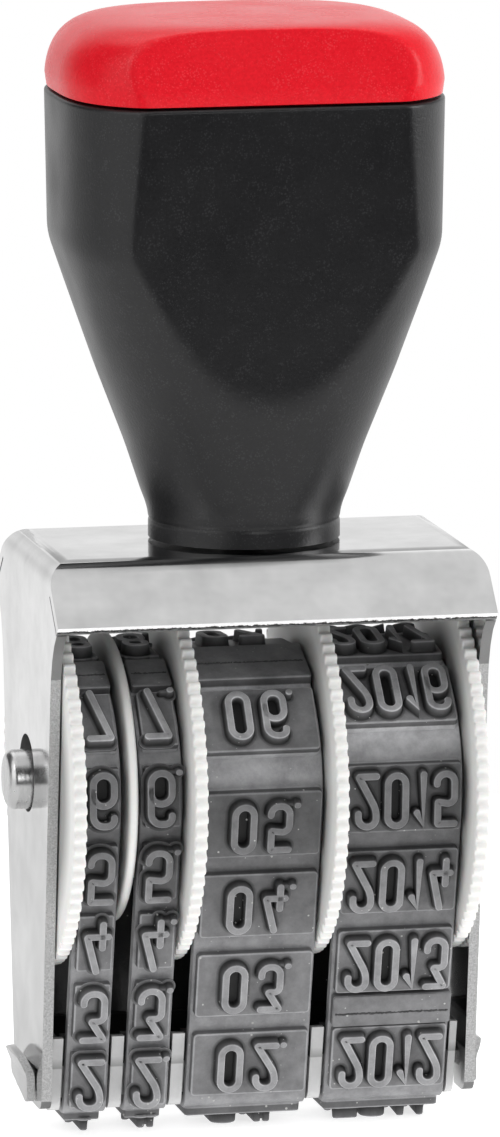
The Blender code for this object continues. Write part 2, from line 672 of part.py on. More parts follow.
# Frame: a bent top with two skirts, joined to two side plates that bend down from its ends.
# The skirts' ends stand clear of the side plates by a slit, except near the top.
def make_frame():
    half_top = TOP_DEPTH / 2
    skirt_edge = half_top + SKIRT_REACH
    skirt_low = TOP_HEIGHT - SKIRT_DROP
    bend = BEND_RADIUS
    roof_path = filleted([(-skirt_edge, skirt_low), (-half_top, TOP_HEIGHT),
                          (half_top, TOP_HEIGHT), (skirt_edge, skirt_low)], [0, bend, bend, 0])
    frame = add_part("frame", prism([sheet_outline(roof_path, SHEET)], -HALF_WIDTH, HALF_WIDTH,
                                    ALONG_X), CHROME)
    legs_path = filleted([(-HALF_WIDTH, SIDE_FOOT_HEIGHT), (-HALF_WIDTH, TOP_HEIGHT),
                          (HALF_WIDTH, TOP_HEIGHT), (HALF_WIDTH, SIDE_FOOT_HEIGHT)],
                         [0, bend, bend, 0])
    combine(frame, prism([legs_path], -skirt_edge - OVERRUN, skirt_edge + OVERRUN, ALONG_Y),
            "INTERSECT", "rounded_ends")

    # Side view of a plate: foot, waist, flare up to the slit, then the top inside the roof
    slope = Vector((SKIRT_REACH, -SKIRT_DROP)).normalized()
    inward = Vector((slope.y, -slope.x))
    slit_foot = Vector((skirt_edge, skirt_low)) + inward * (SHEET + SLIT_GAP)
    slit_head = slit_foot - slope * (SKIRT_DROP - SLIT_TOP_DROP) / abs(slope.y)
    joined = slit_head - inward * (SLIT_GAP + SHEET / 2)
    waist = (SIDE_WAIST_DEPTH / 2, AXLE_HEIGHT + SIDE_WAIST_RISE)
    flare = [(waist[0] + out * (slit_foot.x - waist[0]), waist[1] + up * (slit_foot.y - waist[1]))
             for up, out in FLARE_SHARES]
    foot = filleted([waist, (SIDE_FOOT_DEPTH / 2, SIDE_FOOT_HEIGHT), (0, SIDE_FOOT_HEIGHT)],
                    [0, SIDE_FOOT_RADIUS, 0])
    roof_low = (half_top, TOP_HEIGHT - SHEET / 2)
    front = foot[::-1] + flare + [tuple(slit_foot), tuple(slit_head), tuple(joined), roof_low]
    side_view = front[1:] + [(-y, z) for y, z in front[1:]][::-1]
    legs = prism([sheet_outline(legs_path, SHEET)], -skirt_edge, skirt_edge, ALONG_Y)
    sides = add_cutter("frame_sides", legs)
    trim = sides.modifiers.new("side_view", "BOOLEAN")
    trim.operation = "INTERSECT"
    trim.solver = "EXACT"
    trim.object = add_cutter("frame_side_view", prism([side_view], -HALF_WIDTH - OVERRUN,
                                                      HALF_WIDTH + OVERRUN, ALONG_X))
    join = frame.modifiers.new("sides", "BOOLEAN")
    join.operation = "UNION"
    join.solver = "EXACT"
    join.object = sides

    hole_height = AXLE_HEIGHT - AXLE_RADIUS - SEAT_GAP + AXLE_HOLE_RADIUS
    reach = HALF_WIDTH + OVERRUN
    combine(frame, prism([circle(AXLE_HOLE_RADIUS, centre=(0, hole_height))], -reach, reach,
                         ALONG_X), "DIFFERENCE", "axle_holes")
    notch = rectangle(BAR_DEPTH / 2 + SEAT_GAP, -OVERRUN, BAR_TOP + SEAT_GAP)
    combine(frame, prism([notch], -reach, reach, ALONG_X), "DIFFERENCE", "bar_notches")
    combine(frame, prism([circle(SCREW_RADIUS + SEAT_GAP)], TOP_HEIGHT - SHEET - OVERRUN,
                         TOP_HEIGHT + OVERRUN), "DIFFERENCE", "screw_hole")
    return frame


# Bridge: a block as deep as the bands' inner side lets it be, with ribs between the bands
GROOVE_FLOOR = LINE_BOTTOM + BAND_BASE / 2 + SEAT_GAP
BAR_BOTTOM = GROOVE_FLOOR + BAR_FLOOR + SEAT_GAP
BAR_TOP = BAR_BOTTOM + BAR_THICKNESS


def bridge_outline(out):
    """The bridge's end view, shifted from the bands' line, cut level at its top."""
    rise = (BRIDGE_TOP - LINE_BOTTOM) / math.cos(STRAND_SLOPE)
    front = band_line(0, FOOT_FLAT / 2 + CORNER_RUN + rise, out)
    lower, upper = Vector(front[-2]), Vector(front[-1])
    share = (BRIDGE_TOP - lower.y) / (upper.y - lower.y)
    front[-1] = tuple(lower.lerp(upper, share))
    return front[1:] + [(-y, z) for y, z in front[1:]][::-1]


def make_bridge():
    left = -HALF_INNER + SEAT_GAP
    right = HALF_INNER - SEAT_GAP - BRIDGE_SLACK
    core = bridge_outline(-BAND_BASE / 2 - SEAT_GAP)
    bridge = add_part("bridge", prism([core], left, right, ALONG_X), BRIDGE_PLASTIC)
    beside = SEAT_GAP - BAND_SIDE_GAP
    band_sides = [(place - beside, place + width + beside) for _, _, place, width in WHEELS]
    edges = [left] + [side for sides in band_sides for side in sides] + [right]
    ribs = bmesh.new()
    for low, high in zip(edges[0::2], edges[1::2]):
        rib = prism([bridge_outline(RIB_RISE)], low, high, ALONG_X)
        ribs.from_mesh(rib)
        bpy.data.meshes.remove(rib)
    rib_mesh = bpy.data.meshes.new("ribs")
    ribs.to_mesh(rib_mesh)
    ribs.free()
    combine(bridge, rib_mesh, "UNION", "ribs")
    slot = rectangle(BAR_DEPTH / 2 + SEAT_GAP, BAR_BOTTOM - SEAT_GAP, BAR_TOP + SEAT_GAP)
    reach = HALF_INNER + OVERRUN
    combine(bridge, prism([slot], -reach, reach, ALONG_X), "DIFFERENCE", "bar_slot")
    return bridge


def make_bar():
    """The bridge's bar: flat steel with a tab at each end, splayed at the top and cut at its
    rear lower corner."""
    tab_in = HALF_WIDTH + TAB_OFFSET
    bar = add_part("bridge_bar", prism([rectangle(BAR_DEPTH / 2, BAR_BOTTOM, BAR_TOP)],
                                       -tab_in - TAB_SHEET / 2, tab_in + TAB_SHEET / 2, ALONG_X),
                   STEEL)
    flare_foot = TAB_TOP - TAB_FLARE_HEIGHT
    sheet_path = [(tab_in, TAB_BOTTOM), (tab_in, flare_foot), (tab_in + TAB_FLARE, TAB_TOP)]
    section = sheet_outline(sheet_path, TAB_SHEET)
    half = TAB_DEPTH / 2
    cut = TAB_DEPTH / 3
    corners = [(-half, TAB_TOP), (-half, TAB_BOTTOM), (half - cut, TAB_BOTTOM),
               (half, TAB_BOTTOM + cut), (half, TAB_TOP)]
    radii = [TAB_CORNER, TAB_CORNER, TAB_CORNER, TAB_CORNER, TAB_CORNER]
    outline = filleted(corners, radii, closed=True)
    for side, name in ((1, "right_tab"), (-1, "left_tab")):
        tab = add_cutter("bridge_bar_" + name, prism([[(side * x, z) for x, z in section]],
                                                     -half - OVERRUN, half + OVERRUN, ALONG_Y))
        trim = tab.modifiers.new("outline", "BOOLEAN")
        trim.operation = "INTERSECT"
        trim.solver = "EXACT"
        span = sorted((side * (tab_in - OVERRUN), side * (tab_in + 2 * OVERRUN)))
        trim.object = add_cutter("bridge_bar_" + name + "_outline",
                                 prism([outline], span[0], span[1], ALONG_X))
        join = bar.modifiers.new(name, "BOOLEAN")
        join.operation = "UNION"
        join.solver = "EXACT"
        join.object = tab
    return bar


# Grip: rounded sections from the round collar on the frame up to the seam with the cap
COLLAR_TOP = TOP_HEIGHT + COLLAR_HEIGHT
GRIP_BOTTOM = TOP_HEIGHT + SEAT_GAP
GRIP_TOP = SEAM_HEIGHT - SEAT_GAP / 2
CAP_BOTTOM = SEAM_HEIGHT + SEAT_GAP / 2


def panel_half_depth(height):
    """Half the distance between the flat front and rear panels at a height."""
    return PANEL_DEPTH / 2 - (SEAM_HEIGHT - height) * math.tan(PANEL_SLOPE)


def grip_section(height):
    """Half width, half depth and exponent of the grip's outline before its panels are cut."""
    if height <= COLLAR_TOP:
        return NECK_RADIUS, NECK_RADIUS, 2.0
    depth_ratio = GRIP_DEPTH / SEAM_WIDTH
    if height >= SHOULDER_HEIGHT:
        share = (height - SHOULDER_HEIGHT) / (SEAM_HEIGHT - SHOULDER_HEIGHT)
        half_width = (SHOULDER_WIDTH + share * (SEAM_WIDTH - SHOULDER_WIDTH)) / 2
        return half_width, half_width * depth_ratio, SQUARENESS
    rise = (height - COLLAR_TOP) / (SHOULDER_HEIGHT - COLLAR_TOP)
    growth = 1.0
    for (low, low_growth), (high, high_growth) in zip(GRIP_SHARES, GRIP_SHARES[1:]):
        if low <= rise <= high:
            growth = low_growth + (high_growth - low_growth) * (rise - low) / (high - low)
            break
    half_width = NECK_RADIUS + growth * (SHOULDER_WIDTH / 2 - NECK_RADIUS)
    return half_width, half_width * (1 + (depth_ratio - 1) * growth), 2 + (SQUARENESS - 2) * growth


def cavity_section(height):
    """The same for the hollow inside the grip."""
    half_width, half_depth, exponent = grip_section(height)
    half_depth = min(half_depth, panel_half_depth(height))
    share = (exponent - 2) / (SQUARENESS - 2)
    return (half_width - GRIP_WALL, half_depth - GRIP_WALL,
            2 + (CAVITY_SQUARENESS - 2) * share)


def panel_reach():
    """How far a panel's cutter goes to each side, and to the front, to clear the grip."""
    half_widths = [grip_section(height)[0] for height in (SHOULDER_HEIGHT, SEAM_HEIGHT)]
    half_depths = [grip_section(height)[1] for height in (SHOULDER_HEIGHT, SEAM_HEIGHT)]
    return max(half_widths) + OVERRUN, max(half_depths) + OVERRUN


def panel_cutter(sign, low, high, low_depth, high_depth, reach, far):
    """A wedge that cuts one flat panel, in front or behind."""
    outline = [(sign * low_depth, low), (sign * high_depth, high), (sign * far, high),
               (sign * far, low)]
    return prism([outline], -reach, reach, ALONG_X)


def make_grip():
    grip_heights = [COLLAR_TOP + rise * (SHOULDER_HEIGHT - COLLAR_TOP) for rise, _ in GRIP_SHARES]
    heights = [GRIP_BOTTOM] + grip_heights + [GRIP_TOP]
    rings = [rounded_ring(*grip_section(height), height) for height in heights]
    grip = add_part("handle_body", loft(rings), BLACK_PLASTIC)

    reach, far = panel_reach()
    top = SEAM_HEIGHT + OVERRUN
    for sign, name in ((-1, "front_panel"), (1, "rear_panel")):
        wedge = panel_cutter(sign, COLLAR_TOP, top, panel_half_depth(COLLAR_TOP),
                             panel_half_depth(top), reach, far)
        combine(grip, wedge, "DIFFERENCE", name)

    floor = COLLAR_TOP + GRIP_WALL
    hollow_heights = [floor] + [height for height in grip_heights if height > floor + GRIP_WALL]
    rings = [rounded_ring(*cavity_section(height), height) for height in hollow_heights]
    rings.append(rounded_ring(*cavity_section(SEAM_HEIGHT), SEAM_HEIGHT + OVERRUN))
    hollow = add_cutter("handle_body_hollow", loft(rings))
    screw_hole = SCREW_RADIUS + SEAT_GAP
    hole_top = SCREW_TOP + SEAT_GAP
    boss = turned([(0, hole_top + BOSS_WALL), (screw_hole + BOSS_WALL, hole_top + BOSS_WALL),
                   (screw_hole + BOSS_WALL, floor - OVERRUN), (0, floor - OVERRUN)])
    keep = hollow.modifiers.new("boss", "BOOLEAN")
    keep.operation = "DIFFERENCE"
    keep.solver = "EXACT"
    keep.object = add_cutter("handle_body_boss", boss)
    cut = grip.modifiers.new("hollow", "BOOLEAN")
    cut.operation = "DIFFERENCE"
    cut.solver = "EXACT"
    cut.object = hollow
    combine(grip, prism([circle(screw_hole)], GRIP_BOTTOM - OVERRUN, hole_top), "DIFFERENCE",
            "screw_hole")
    smooth(grip)
    return grip


def make_cap():
    """The cap: a dome with a flat facet in front and behind, hollow, with a plug below that
    fits inside the grip."""
    half_width, half_depth, exponent = grip_section(SEAM_HEIGHT)
    height = CAP_HEIGHT - SEAT_GAP / 2
    outer = [rounded_ring(half_width * keep, half_depth * keep, exponent,
                          CAP_BOTTOM + rise * height) for keep, rise in CAP_SHARES]
    inner_height = height - CAP_WALL
    inside_depth = PANEL_DEPTH / 2 - CAP_WALL - inner_height * math.tan(FACET_SLOPE)
    plug_low = CAP_BOTTOM - PLUG_DEPTH
    plug = [(place, cavity_section(place)) for place in (plug_low, CAP_BOTTOM)]
    skirt = [rounded_ring(w - SEAT_GAP, d - SEAT_GAP, n, place) for place, (w, d, n) in plug]
    lining = [rounded_ring(w - SEAT_GAP - PLUG_WALL, d - SEAT_GAP - PLUG_WALL, n, place)
              for place, (w, d, n) in plug]
    top_width = half_width * CAP_SHARES[4][0] - CAP_WALL
    ceiling = [rounded_ring(top_width, inside_depth, CAVITY_SQUARENESS, CAP_BOTTOM + inner_height)]
    cap = add_part("handle_cap", loft(ceiling + lining[::-1] + skirt + outer), RED_PLASTIC)
    reach, far = panel_reach()
    top = SEAM_HEIGHT + CAP_HEIGHT + OVERRUN
    drop = (top - SEAM_HEIGHT) * math.tan(FACET_SLOPE)
    for sign, name in ((-1, "front_facet"), (1, "rear_facet")):
        wedge = panel_cutter(sign, SEAM_HEIGHT, top, PANEL_DEPTH / 2, PANEL_DEPTH / 2 - drop,
                             reach, far)
        combine(cap, wedge, "DIFFERENCE", name)
    smooth(cap)
    return cap


# Screw from below: washer under the top plate, then the head
WASHER_TOP = TOP_HEIGHT - SHEET - SEAT_GAP
HEAD_TOP = WASHER_TOP - WASHER_THICKNESS - SEAT_GAP
SCREW_TOP = HEAD_TOP + SCREW_LENGTH


def make_fasteners():
    head_low = HEAD_TOP - SCREW_HEAD
    crown = SCREW_HEAD / 4
    profile = [(0, SCREW_TOP), (SCREW_RADIUS / 2, SCREW_TOP),
               (SCREW_RADIUS, SCREW_TOP - SCREW_TIP), (SCREW_RADIUS, HEAD_TOP),
               (SCREW_HEAD_RADIUS, HEAD_TOP), (SCREW_HEAD_RADIUS, head_low + 2 * crown),
               (SCREW_HEAD_RADIUS - crown, head_low), (0, head_low)]
    screw = add_part("handle_screw", turned(profile), STEEL)
    blade = rectangle(SCREW_SLOT / 2, head_low - OVERRUN, head_low + SCREW_HEAD / 2)
    combine(screw, prism([blade], -SCREW_HEAD_RADIUS - OVERRUN, SCREW_HEAD_RADIUS + OVERRUN,
                         ALONG_Y), "DIFFERENCE", "slot")
    smooth(screw)
    low = WASHER_TOP - WASHER_THICKNESS
    add_part("handle_washer", prism([circle(WASHER_RADIUS), circle(SCREW_RADIUS + SEAT_GAP)],
                                    low, WASHER_TOP), STEEL)


def make_axle():
    end = HALF_WIDTH + AXLE_END
    dome = AXLE_RADIUS - AXLE_DOME
    profile = [(0, end), (dome, end), (AXLE_RADIUS - AXLE_DOME / 4, end - AXLE_DOME / 3),
               (AXLE_RADIUS, end - AXLE_DOME)]
    profile += [(radius, -place) for radius, place in reversed(profile)]
    axle = add_part("wheel_axle", turned(profile, ALONG_X), STEEL)
    smooth(axle)
    on_axle(axle)


def make_divider():
    low, high = PLACES[4], PLACES[5]
    edge = DIVIDER_THICKNESS / 3
    bore = AXLE_RADIUS + RUNNING_GAP
    profile = [(bore, high), (DIVIDER_RADIUS - edge, high), (DIVIDER_RADIUS, high - edge),
               (DIVIDER_RADIUS, low + edge), (DIVIDER_RADIUS - edge, low), (bore, low)]
    divider = add_part("divider_disc", turned(profile, ALONG_X, DIVIDER_STEPS), WHITE_PLASTIC)
    smooth(divider)
    on_axle(divider)


make_frame()
make_axle()
make_divider()
for wheel_name, disc_place, drum_place, width in WHEELS:
    wheel = make_wheel(wheel_name, disc_place, drum_place, width)
    on_axle(wheel)
day_height = BAND_LENGTH / NARROW_SLOTS - NARROW_PAD_GAP - DAY_TYPE_REST
month_height = BAND_LENGTH / WIDE_SLOTS - WIDE_PAD_GAP - MONTH_TYPE_REST
year_height = BAND_LENGTH / WIDE_SLOTS - WIDE_PAD_GAP - YEAR_TYPE_REST
day_type = (DAY_TYPE_WIDTH, day_height, 0)
month_type = (MONTH_TYPE_WIDTH, month_height, MONTH_SPACING)
year_type = (YEAR_TYPE_WIDTH, year_height, YEAR_SPACING)
make_band("tens_band", WHEELS[0][2], NARROW_DRUM, NARROW_LABELS, NARROW_SLOTS,
          NARROW_PAD_GAP, 8, day_type, False)
make_band("units_band", WHEELS[1][2], NARROW_DRUM, NARROW_LABELS, NARROW_SLOTS,
          NARROW_PAD_GAP, 8, day_type, True)
make_band("month_band", WHEELS[2][2], WIDE_DRUM, MONTH_LABELS, WIDE_SLOTS, WIDE_PAD_GAP,
          5, month_type, True)
make_band("year_band", WHEELS[3][2], WIDE_DRUM, YEAR_LABELS, WIDE_SLOTS, WIDE_PAD_GAP,
          1, year_type, False)
make_bridge()
make_bar()
make_grip()
make_cap()
make_fasteners()
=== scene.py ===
"""Dresses a hand date stamp: a plastic grip with a red cap on a chromed steel frame, in which
four rubber bands with raised figures turn over white thumb wheels. Lengths are in metres."""
import math

import bmesh
import bpy
import numpy as np
from mathutils import Matrix, Vector


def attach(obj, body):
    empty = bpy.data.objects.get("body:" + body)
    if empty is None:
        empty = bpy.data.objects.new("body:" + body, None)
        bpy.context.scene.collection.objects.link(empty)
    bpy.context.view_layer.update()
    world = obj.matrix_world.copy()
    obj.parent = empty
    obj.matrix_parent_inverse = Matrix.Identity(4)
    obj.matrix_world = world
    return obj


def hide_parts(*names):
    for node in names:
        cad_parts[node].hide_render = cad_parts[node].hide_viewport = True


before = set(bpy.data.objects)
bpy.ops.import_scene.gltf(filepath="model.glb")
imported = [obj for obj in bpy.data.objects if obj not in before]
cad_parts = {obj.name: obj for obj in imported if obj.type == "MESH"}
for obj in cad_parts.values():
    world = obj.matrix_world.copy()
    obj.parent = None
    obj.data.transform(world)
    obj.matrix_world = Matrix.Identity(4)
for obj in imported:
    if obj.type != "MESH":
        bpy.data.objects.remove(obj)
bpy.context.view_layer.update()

MM = 0.001

# The camera: a long lens a little to the left of the stamp's front and a little above it, so
# that upright lines stay almost parallel.
CAMERA_TURN = math.radians(12.25)
CAMERA_RISE = math.radians(9.56)
CAMERA_DISTANCE = 0.990
CAMERA_TARGET = Vector((0.000606, 0, 0.05435))

camera_data = bpy.data.cameras.new("camera")
camera_data.sensor_width = 36
camera_data.lens = 323.4
camera_data.clip_start = 0.05
camera_data.clip_end = 20
camera = bpy.data.objects.new("camera", camera_data)
bpy.context.scene.collection.objects.link(camera)
backward = Vector((-math.sin(CAMERA_TURN) * math.cos(CAMERA_RISE),
                   -math.cos(CAMERA_TURN) * math.cos(CAMERA_RISE), math.sin(CAMERA_RISE)))
camera.location = CAMERA_TARGET + backward * CAMERA_DISTANCE
camera.rotation_euler = backward.to_track_quat("Z", "Y").to_euler()
bpy.context.scene.camera = camera
bpy.context.scene.view_settings.view_transform = "Standard"

# The studio: a white table, soft lamps at both sides and above, and a room that is white
# behind the stamp and dimmer in front of it and above, as the chrome shows. The table glows for
# the camera, so that it reads white round the stamp's shadow, a little in reflections, and fully
# for diffuse light, so that it lights the stamp from below as a lamp would.
TABLE_RADIUS = 0.17
REAR_PROFILE = ((0.20, 0.88), (0.36, 0.55), (0.60, 0.50), (0.72, 1.35), (0.90, 1.30))
PATCH_WAY = (0.10, -0.96, 0.26)


def colour(code, alpha=1.0):
    """An sRGB hex value as linear red, green, blue and alpha."""
    shares = [int(code[i:i + 2], 16) / 255 for i in (1, 3, 5)]
    linear = [s / 12.92 if s <= 0.04045 else ((s + 0.055) / 1.055) ** 2.4 for s in shares]
    return (*linear, alpha)


def add_node(tree, kind, settings=None, links=None):
    """A node with its settings and links. A setting's name is an input's name or number, or
    else one of the node's own properties. A link's value is the socket that feeds the input."""
    node = tree.nodes.new("ShaderNode" + kind)
    for name, value in (settings or {}).items():
        if isinstance(name, int) or name in node.inputs:
            node.inputs[name].default_value = value
        else:
            setattr(node, name, value)
    for name, socket in (links or {}).items():
        tree.links.new(socket, node.inputs[name])
    return node


def new_material(name):
    """A material with an empty node tree but for its output."""
    made = bpy.data.materials.new(name)
    made.use_nodes = True
    tree = made.node_tree
    tree.nodes.clear()
    output = tree.nodes.new("ShaderNodeOutputMaterial")
    return made, tree, output


table_paint, tree, output = new_material("matt_white_table")
rays = add_node(tree, "LightPath")
seen = add_node(tree, "Math", {"operation": "MAXIMUM"},
                {0: rays.outputs["Is Camera Ray"], 1: rays.outputs["Is Transmission Ray"]})
glow = add_node(tree, "Mix", {"B": 0.7}, {"Factor": seen.outputs[0]})
bounce = add_node(tree, "Math", {"operation": "MULTIPLY_ADD", 1: 0.85, 2: 0.15},
                  {0: rays.outputs["Is Diffuse Ray"]})
tree.links.new(bounce.outputs[0], glow.inputs["A"])
paint = add_node(tree, "BsdfPrincipled", {"Base Color": colour("#D2D2D2"), "Roughness": 0.8,
                                          "Emission Color": (1, 1, 1, 1)},
                 {"Emission Strength": glow.outputs[0]})
tree.links.new(paint.outputs[0], output.inputs["Surface"])

table_mesh = bpy.data.meshes.new("table")
round_edge = [(TABLE_RADIUS * math.cos(a), TABLE_RADIUS * math.sin(a), 0)
              for a in np.linspace(0, 2 * np.pi, 128, endpoint=False)]
table_mesh.from_pydata(round_edge, [], [tuple(range(128))])
table = bpy.data.objects.new("table", table_mesh)
table_mesh.materials.append(table_paint)
bpy.context.scene.collection.objects.link(table)

room = bpy.data.worlds.new("white_room")
room.use_nodes = True
tree = room.node_tree
tree.nodes.clear()
output = tree.nodes.new("ShaderNodeOutputWorld")
rays = add_node(tree, "LightPath")
seen = add_node(tree, "Math", {"operation": "MAXIMUM"},
                {0: rays.outputs["Is Camera Ray"], 1: rays.outputs["Is Transmission Ray"]})
room_ways = add_node(tree, "TexCoord")
ways = add_node(tree, "SeparateXYZ", {}, {0: room_ways.outputs["Generated"]})
below = add_node(tree, "MapRange", {"From Min": -0.06, "From Max": 0.06, "To Min": 0.4, "To Max": 0.0},
                 {"Value": ways.outputs[2]})
below = add_node(tree, "Math", {"operation": "ADD"}, {0: ways.outputs[1], 1: below.outputs[0]})
behind = add_node(tree, "MapRange", {"interpolation_type": "SMOOTHSTEP", "From Min": 0.1,
                                     "From Max": 0.6},
                  {"Value": below.outputs[0]})
front = add_node(tree, "MapRange", {"interpolation_type": "SMOOTHSTEP", "From Min": 0.72,
                                    "From Max": 0.94, "To Min": 0.03, "To Max": 0.82},
                 {"Value": ways.outputs[2]})
rear = add_node(tree, "ValToRGB", {}, {"Fac": ways.outputs[2]})
rear.color_ramp.elements[0].color = (0.95, 0.95, 0.95, 1)
rear.color_ramp.elements[1].color = (0.82, 0.82, 0.82, 1)
for at, value in REAR_PROFILE:
    rear.color_ramp.elements.new(at).color = (value, value, value, 1)
around = add_node(tree, "Mix", {}, {"Factor": behind.outputs[0], "A": front.outputs[0],
                                    "B": rear.outputs[0]})
patch = add_node(tree, "VectorMath", {"operation": "DOT_PRODUCT", 1: PATCH_WAY},
                 {0: room_ways.outputs["Generated"]})
patch = add_node(tree, "MapRange", {"From Min": 0.978, "From Max": 0.988, "To Min": 0.0,
                                    "To Max": 2.5}, {"Value": patch.outputs["Value"]})
around = add_node(tree, "Math", {"operation": "ADD"}, {0: around.outputs[0], 1: patch.outputs[0]})
left_front = add_node(tree, "MapRange", {"From Min": 0.0, "From Max": 0.2, "To Min": 0.8, "To Max": 1.2},
                      {"Value": ways.outputs[2]})
left_rear = add_node(tree, "MapRange", {"From Min": -0.05, "From Max": 0.10, "To Min": 0.55,
                                        "To Max": 0.08}, {"Value": ways.outputs[2]})
rearward = add_node(tree, "MapRange", {"interpolation_type": "SMOOTHSTEP", "From Min": -0.10,
                                       "From Max": 0.45}, {"Value": ways.outputs[1]})
left = add_node(tree, "Mix", {}, {"Factor": rearward.outputs[0], "A": left_front.outputs[0],
                                  "B": left_rear.outputs[0]})
leftward = add_node(tree, "Math", {"operation": "MULTIPLY_ADD", 1: -0.15},
                    {0: ways.outputs[1], 2: ways.outputs[0]})
leftward = add_node(tree, "MapRange", {"interpolation_type": "SMOOTHSTEP", "From Min": -0.36,
                                       "From Max": -0.50}, {"Value": leftward.outputs[0]})
low = add_node(tree, "MapRange", {"interpolation_type": "SMOOTHSTEP", "From Min": 0.86,
                                  "From Max": 0.97, "To Min": 1.0, "To Max": 0.0},
               {"Value": ways.outputs[2]})
leftward = add_node(tree, "Math", {"operation": "MULTIPLY"}, {0: leftward.outputs[0], 1: low.outputs[0]})
around = add_node(tree, "Mix", {}, {"Factor": leftward.outputs[0], "A": around.outputs[0],
                                    "B": left.outputs[0]})
lighting = add_node(tree, "Math", {"operation": "MULTIPLY_ADD", 1: 0.6},
                    {0: ways.outputs[1], 2: ways.outputs[2]})
lighting = add_node(tree, "MapRange", {"interpolation_type": "SMOOTHSTEP", "From Min": -0.3,
                                       "From Max": 0.9, "To Min": 0.22, "To Max": 1.3},
                    {"Value": lighting.outputs[0]})
ground = add_node(tree, "MapRange", {"From Min": -0.03, "From Max": 0.03, "To Min": 1.0, "To Max": 0.0},
                  {"Value": ways.outputs[2]})
lighting = add_node(tree, "Mix", {"B": 0.3}, {"Factor": ground.outputs[0], "A": lighting.outputs[0]})
lighting = add_node(tree, "Mix", {}, {"Factor": leftward.outputs[0], "A": lighting.outputs[0],
                                      "B": left.outputs[0]})
rightward = add_node(tree, "MapRange", {"interpolation_type": "SMOOTHSTEP", "From Min": 0.36,
                                        "From Max": 0.55}, {"Value": ways.outputs[0]})
raised = add_node(tree, "MapRange", {"interpolation_type": "SMOOTHSTEP", "From Min": 0.12,
                                     "From Max": 0.35}, {"Value": ways.outputs[2]})
rightward = add_node(tree, "Math", {"operation": "MULTIPLY"},
                     {0: rightward.outputs[0], 1: raised.outputs[0]})
around = add_node(tree, "Mix", {"B": 0.3}, {"Factor": rightward.outputs[0], "A": around.outputs[0]})
lighting = add_node(tree, "Mix", {"B": 0.5}, {"Factor": rightward.outputs[0],
                                              "A": lighting.outputs[0]})
mirrored = add_node(tree, "Mix", {}, {"Factor": rays.outputs["Is Glossy Ray"],
                                      "A": lighting.outputs[0], "B": around.outputs[0]})
strength = add_node(tree, "Mix", {"B": 1.0},
                    {"Factor": seen.outputs[0], "A": mirrored.outputs[0]})
sky = add_node(tree, "Background", {"Color": (1, 1, 1, 1)}, {"Strength": strength.outputs[0]})
tree.links.new(sky.outputs[0], output.inputs["Surface"])
bpy.context.scene.world = room

LAMPS = (("window_left", (-0.45, -0.25, 0.62), (0, 0, 0.06), 0.25, 0.25, 0.25),
         ("window_front", (0.52, -0.46, 0.22), (0, 0, 0.04), 0.16, 0.16, 0.9),
         ("window_right", (0.60, -0.14, 0.30), (0, 0, 0.07), 0.30, 0.50, 1.8))
for name, place, aim, width, height, watts in LAMPS:
    lamp_data = bpy.data.lights.new(name, "AREA")
    lamp_data.shape = "RECTANGLE"
    lamp_data.size = width
    lamp_data.size_y = height
    lamp_data.energy = watts
    lamp = bpy.data.objects.new(name, lamp_data)
    lamp.location = place
    lamp.rotation_euler = (Vector(place) - Vector(aim)).to_track_quat("Z", "Y").to_euler()
    lamp.visible_glossy = name != "window_front"
    bpy.context.scene.collection.objects.link(lamp)

# The grip: one moulding in black ABS with a fine spark grain, hollow, with a boss inside for
# its screw. Its outline grows from a round collar to a squared oval, and a flat panel is let
# into its front and its back. The place for a name on the front panel is left bare.
PLATE_TOP = 57.45 * MM
SEAM = 101.2 * MM
SHOULDER = 87.0 * MM
COLLAR_TOP = 60.55 * MM
NECK_RADIUS = 9.3 * MM
SHOULDER_HALF = 18.4 * MM
SEAM_HALF = 18.65 * MM
DEPTH_SHARE = 34.4 / 37.3
PANEL_HALF_DEPTH = 15.2 * MM
PANEL_TILT = math.tan(math.radians(4.5))
PANEL_EDGE = 0.4 * MM
GRIP_WALL = 1.9 * MM
SEAT = 0.3 * MM
SCREW_HOLE = 2.2 * MM
SCREW_HOLE_TOP = 69.65 * MM
BOSS_RADIUS = 4.2 * MM
BOSS_TOP = 71.65 * MM
GROWTH = ((0.0, 0.0), (0.04, 0.055), (0.24, 0.24), (0.52, 0.54), (0.84, 0.85), (1.0, 1.0))
GRIP_TURNS = 320


def join(skins):
    """Several (points, faces) pairs as one."""
    points, faces, count = [], [], 0
    for skin_points, skin_faces in skins:
        points.append(skin_points)
        faces.append(skin_faces + count)
        count += len(skin_points)
    return np.concatenate(points), np.concatenate(faces)


def skin(grid, closed_across=False, closed_along=False):
    """A grid of points, rows by columns by 3, as points and four-sided faces. Each face joins
    a row's neighbouring points with the next row's, and a closed side joins its end to its
    start."""
    rows, columns = grid.shape[:2]
    across = np.arange(rows if closed_across else rows - 1)
    along = np.arange(columns if closed_along else columns - 1)
    row, column = np.meshgrid(across, along, indexing="ij")
    next_row, next_column = (row + 1) % rows, (column + 1) % columns
    corners = [row * columns + column, row * columns + next_column,
               next_row * columns + next_column, next_row * columns + column]
    return grid.reshape(-1, 3), np.stack(corners, axis=-1).reshape(-1, 4)


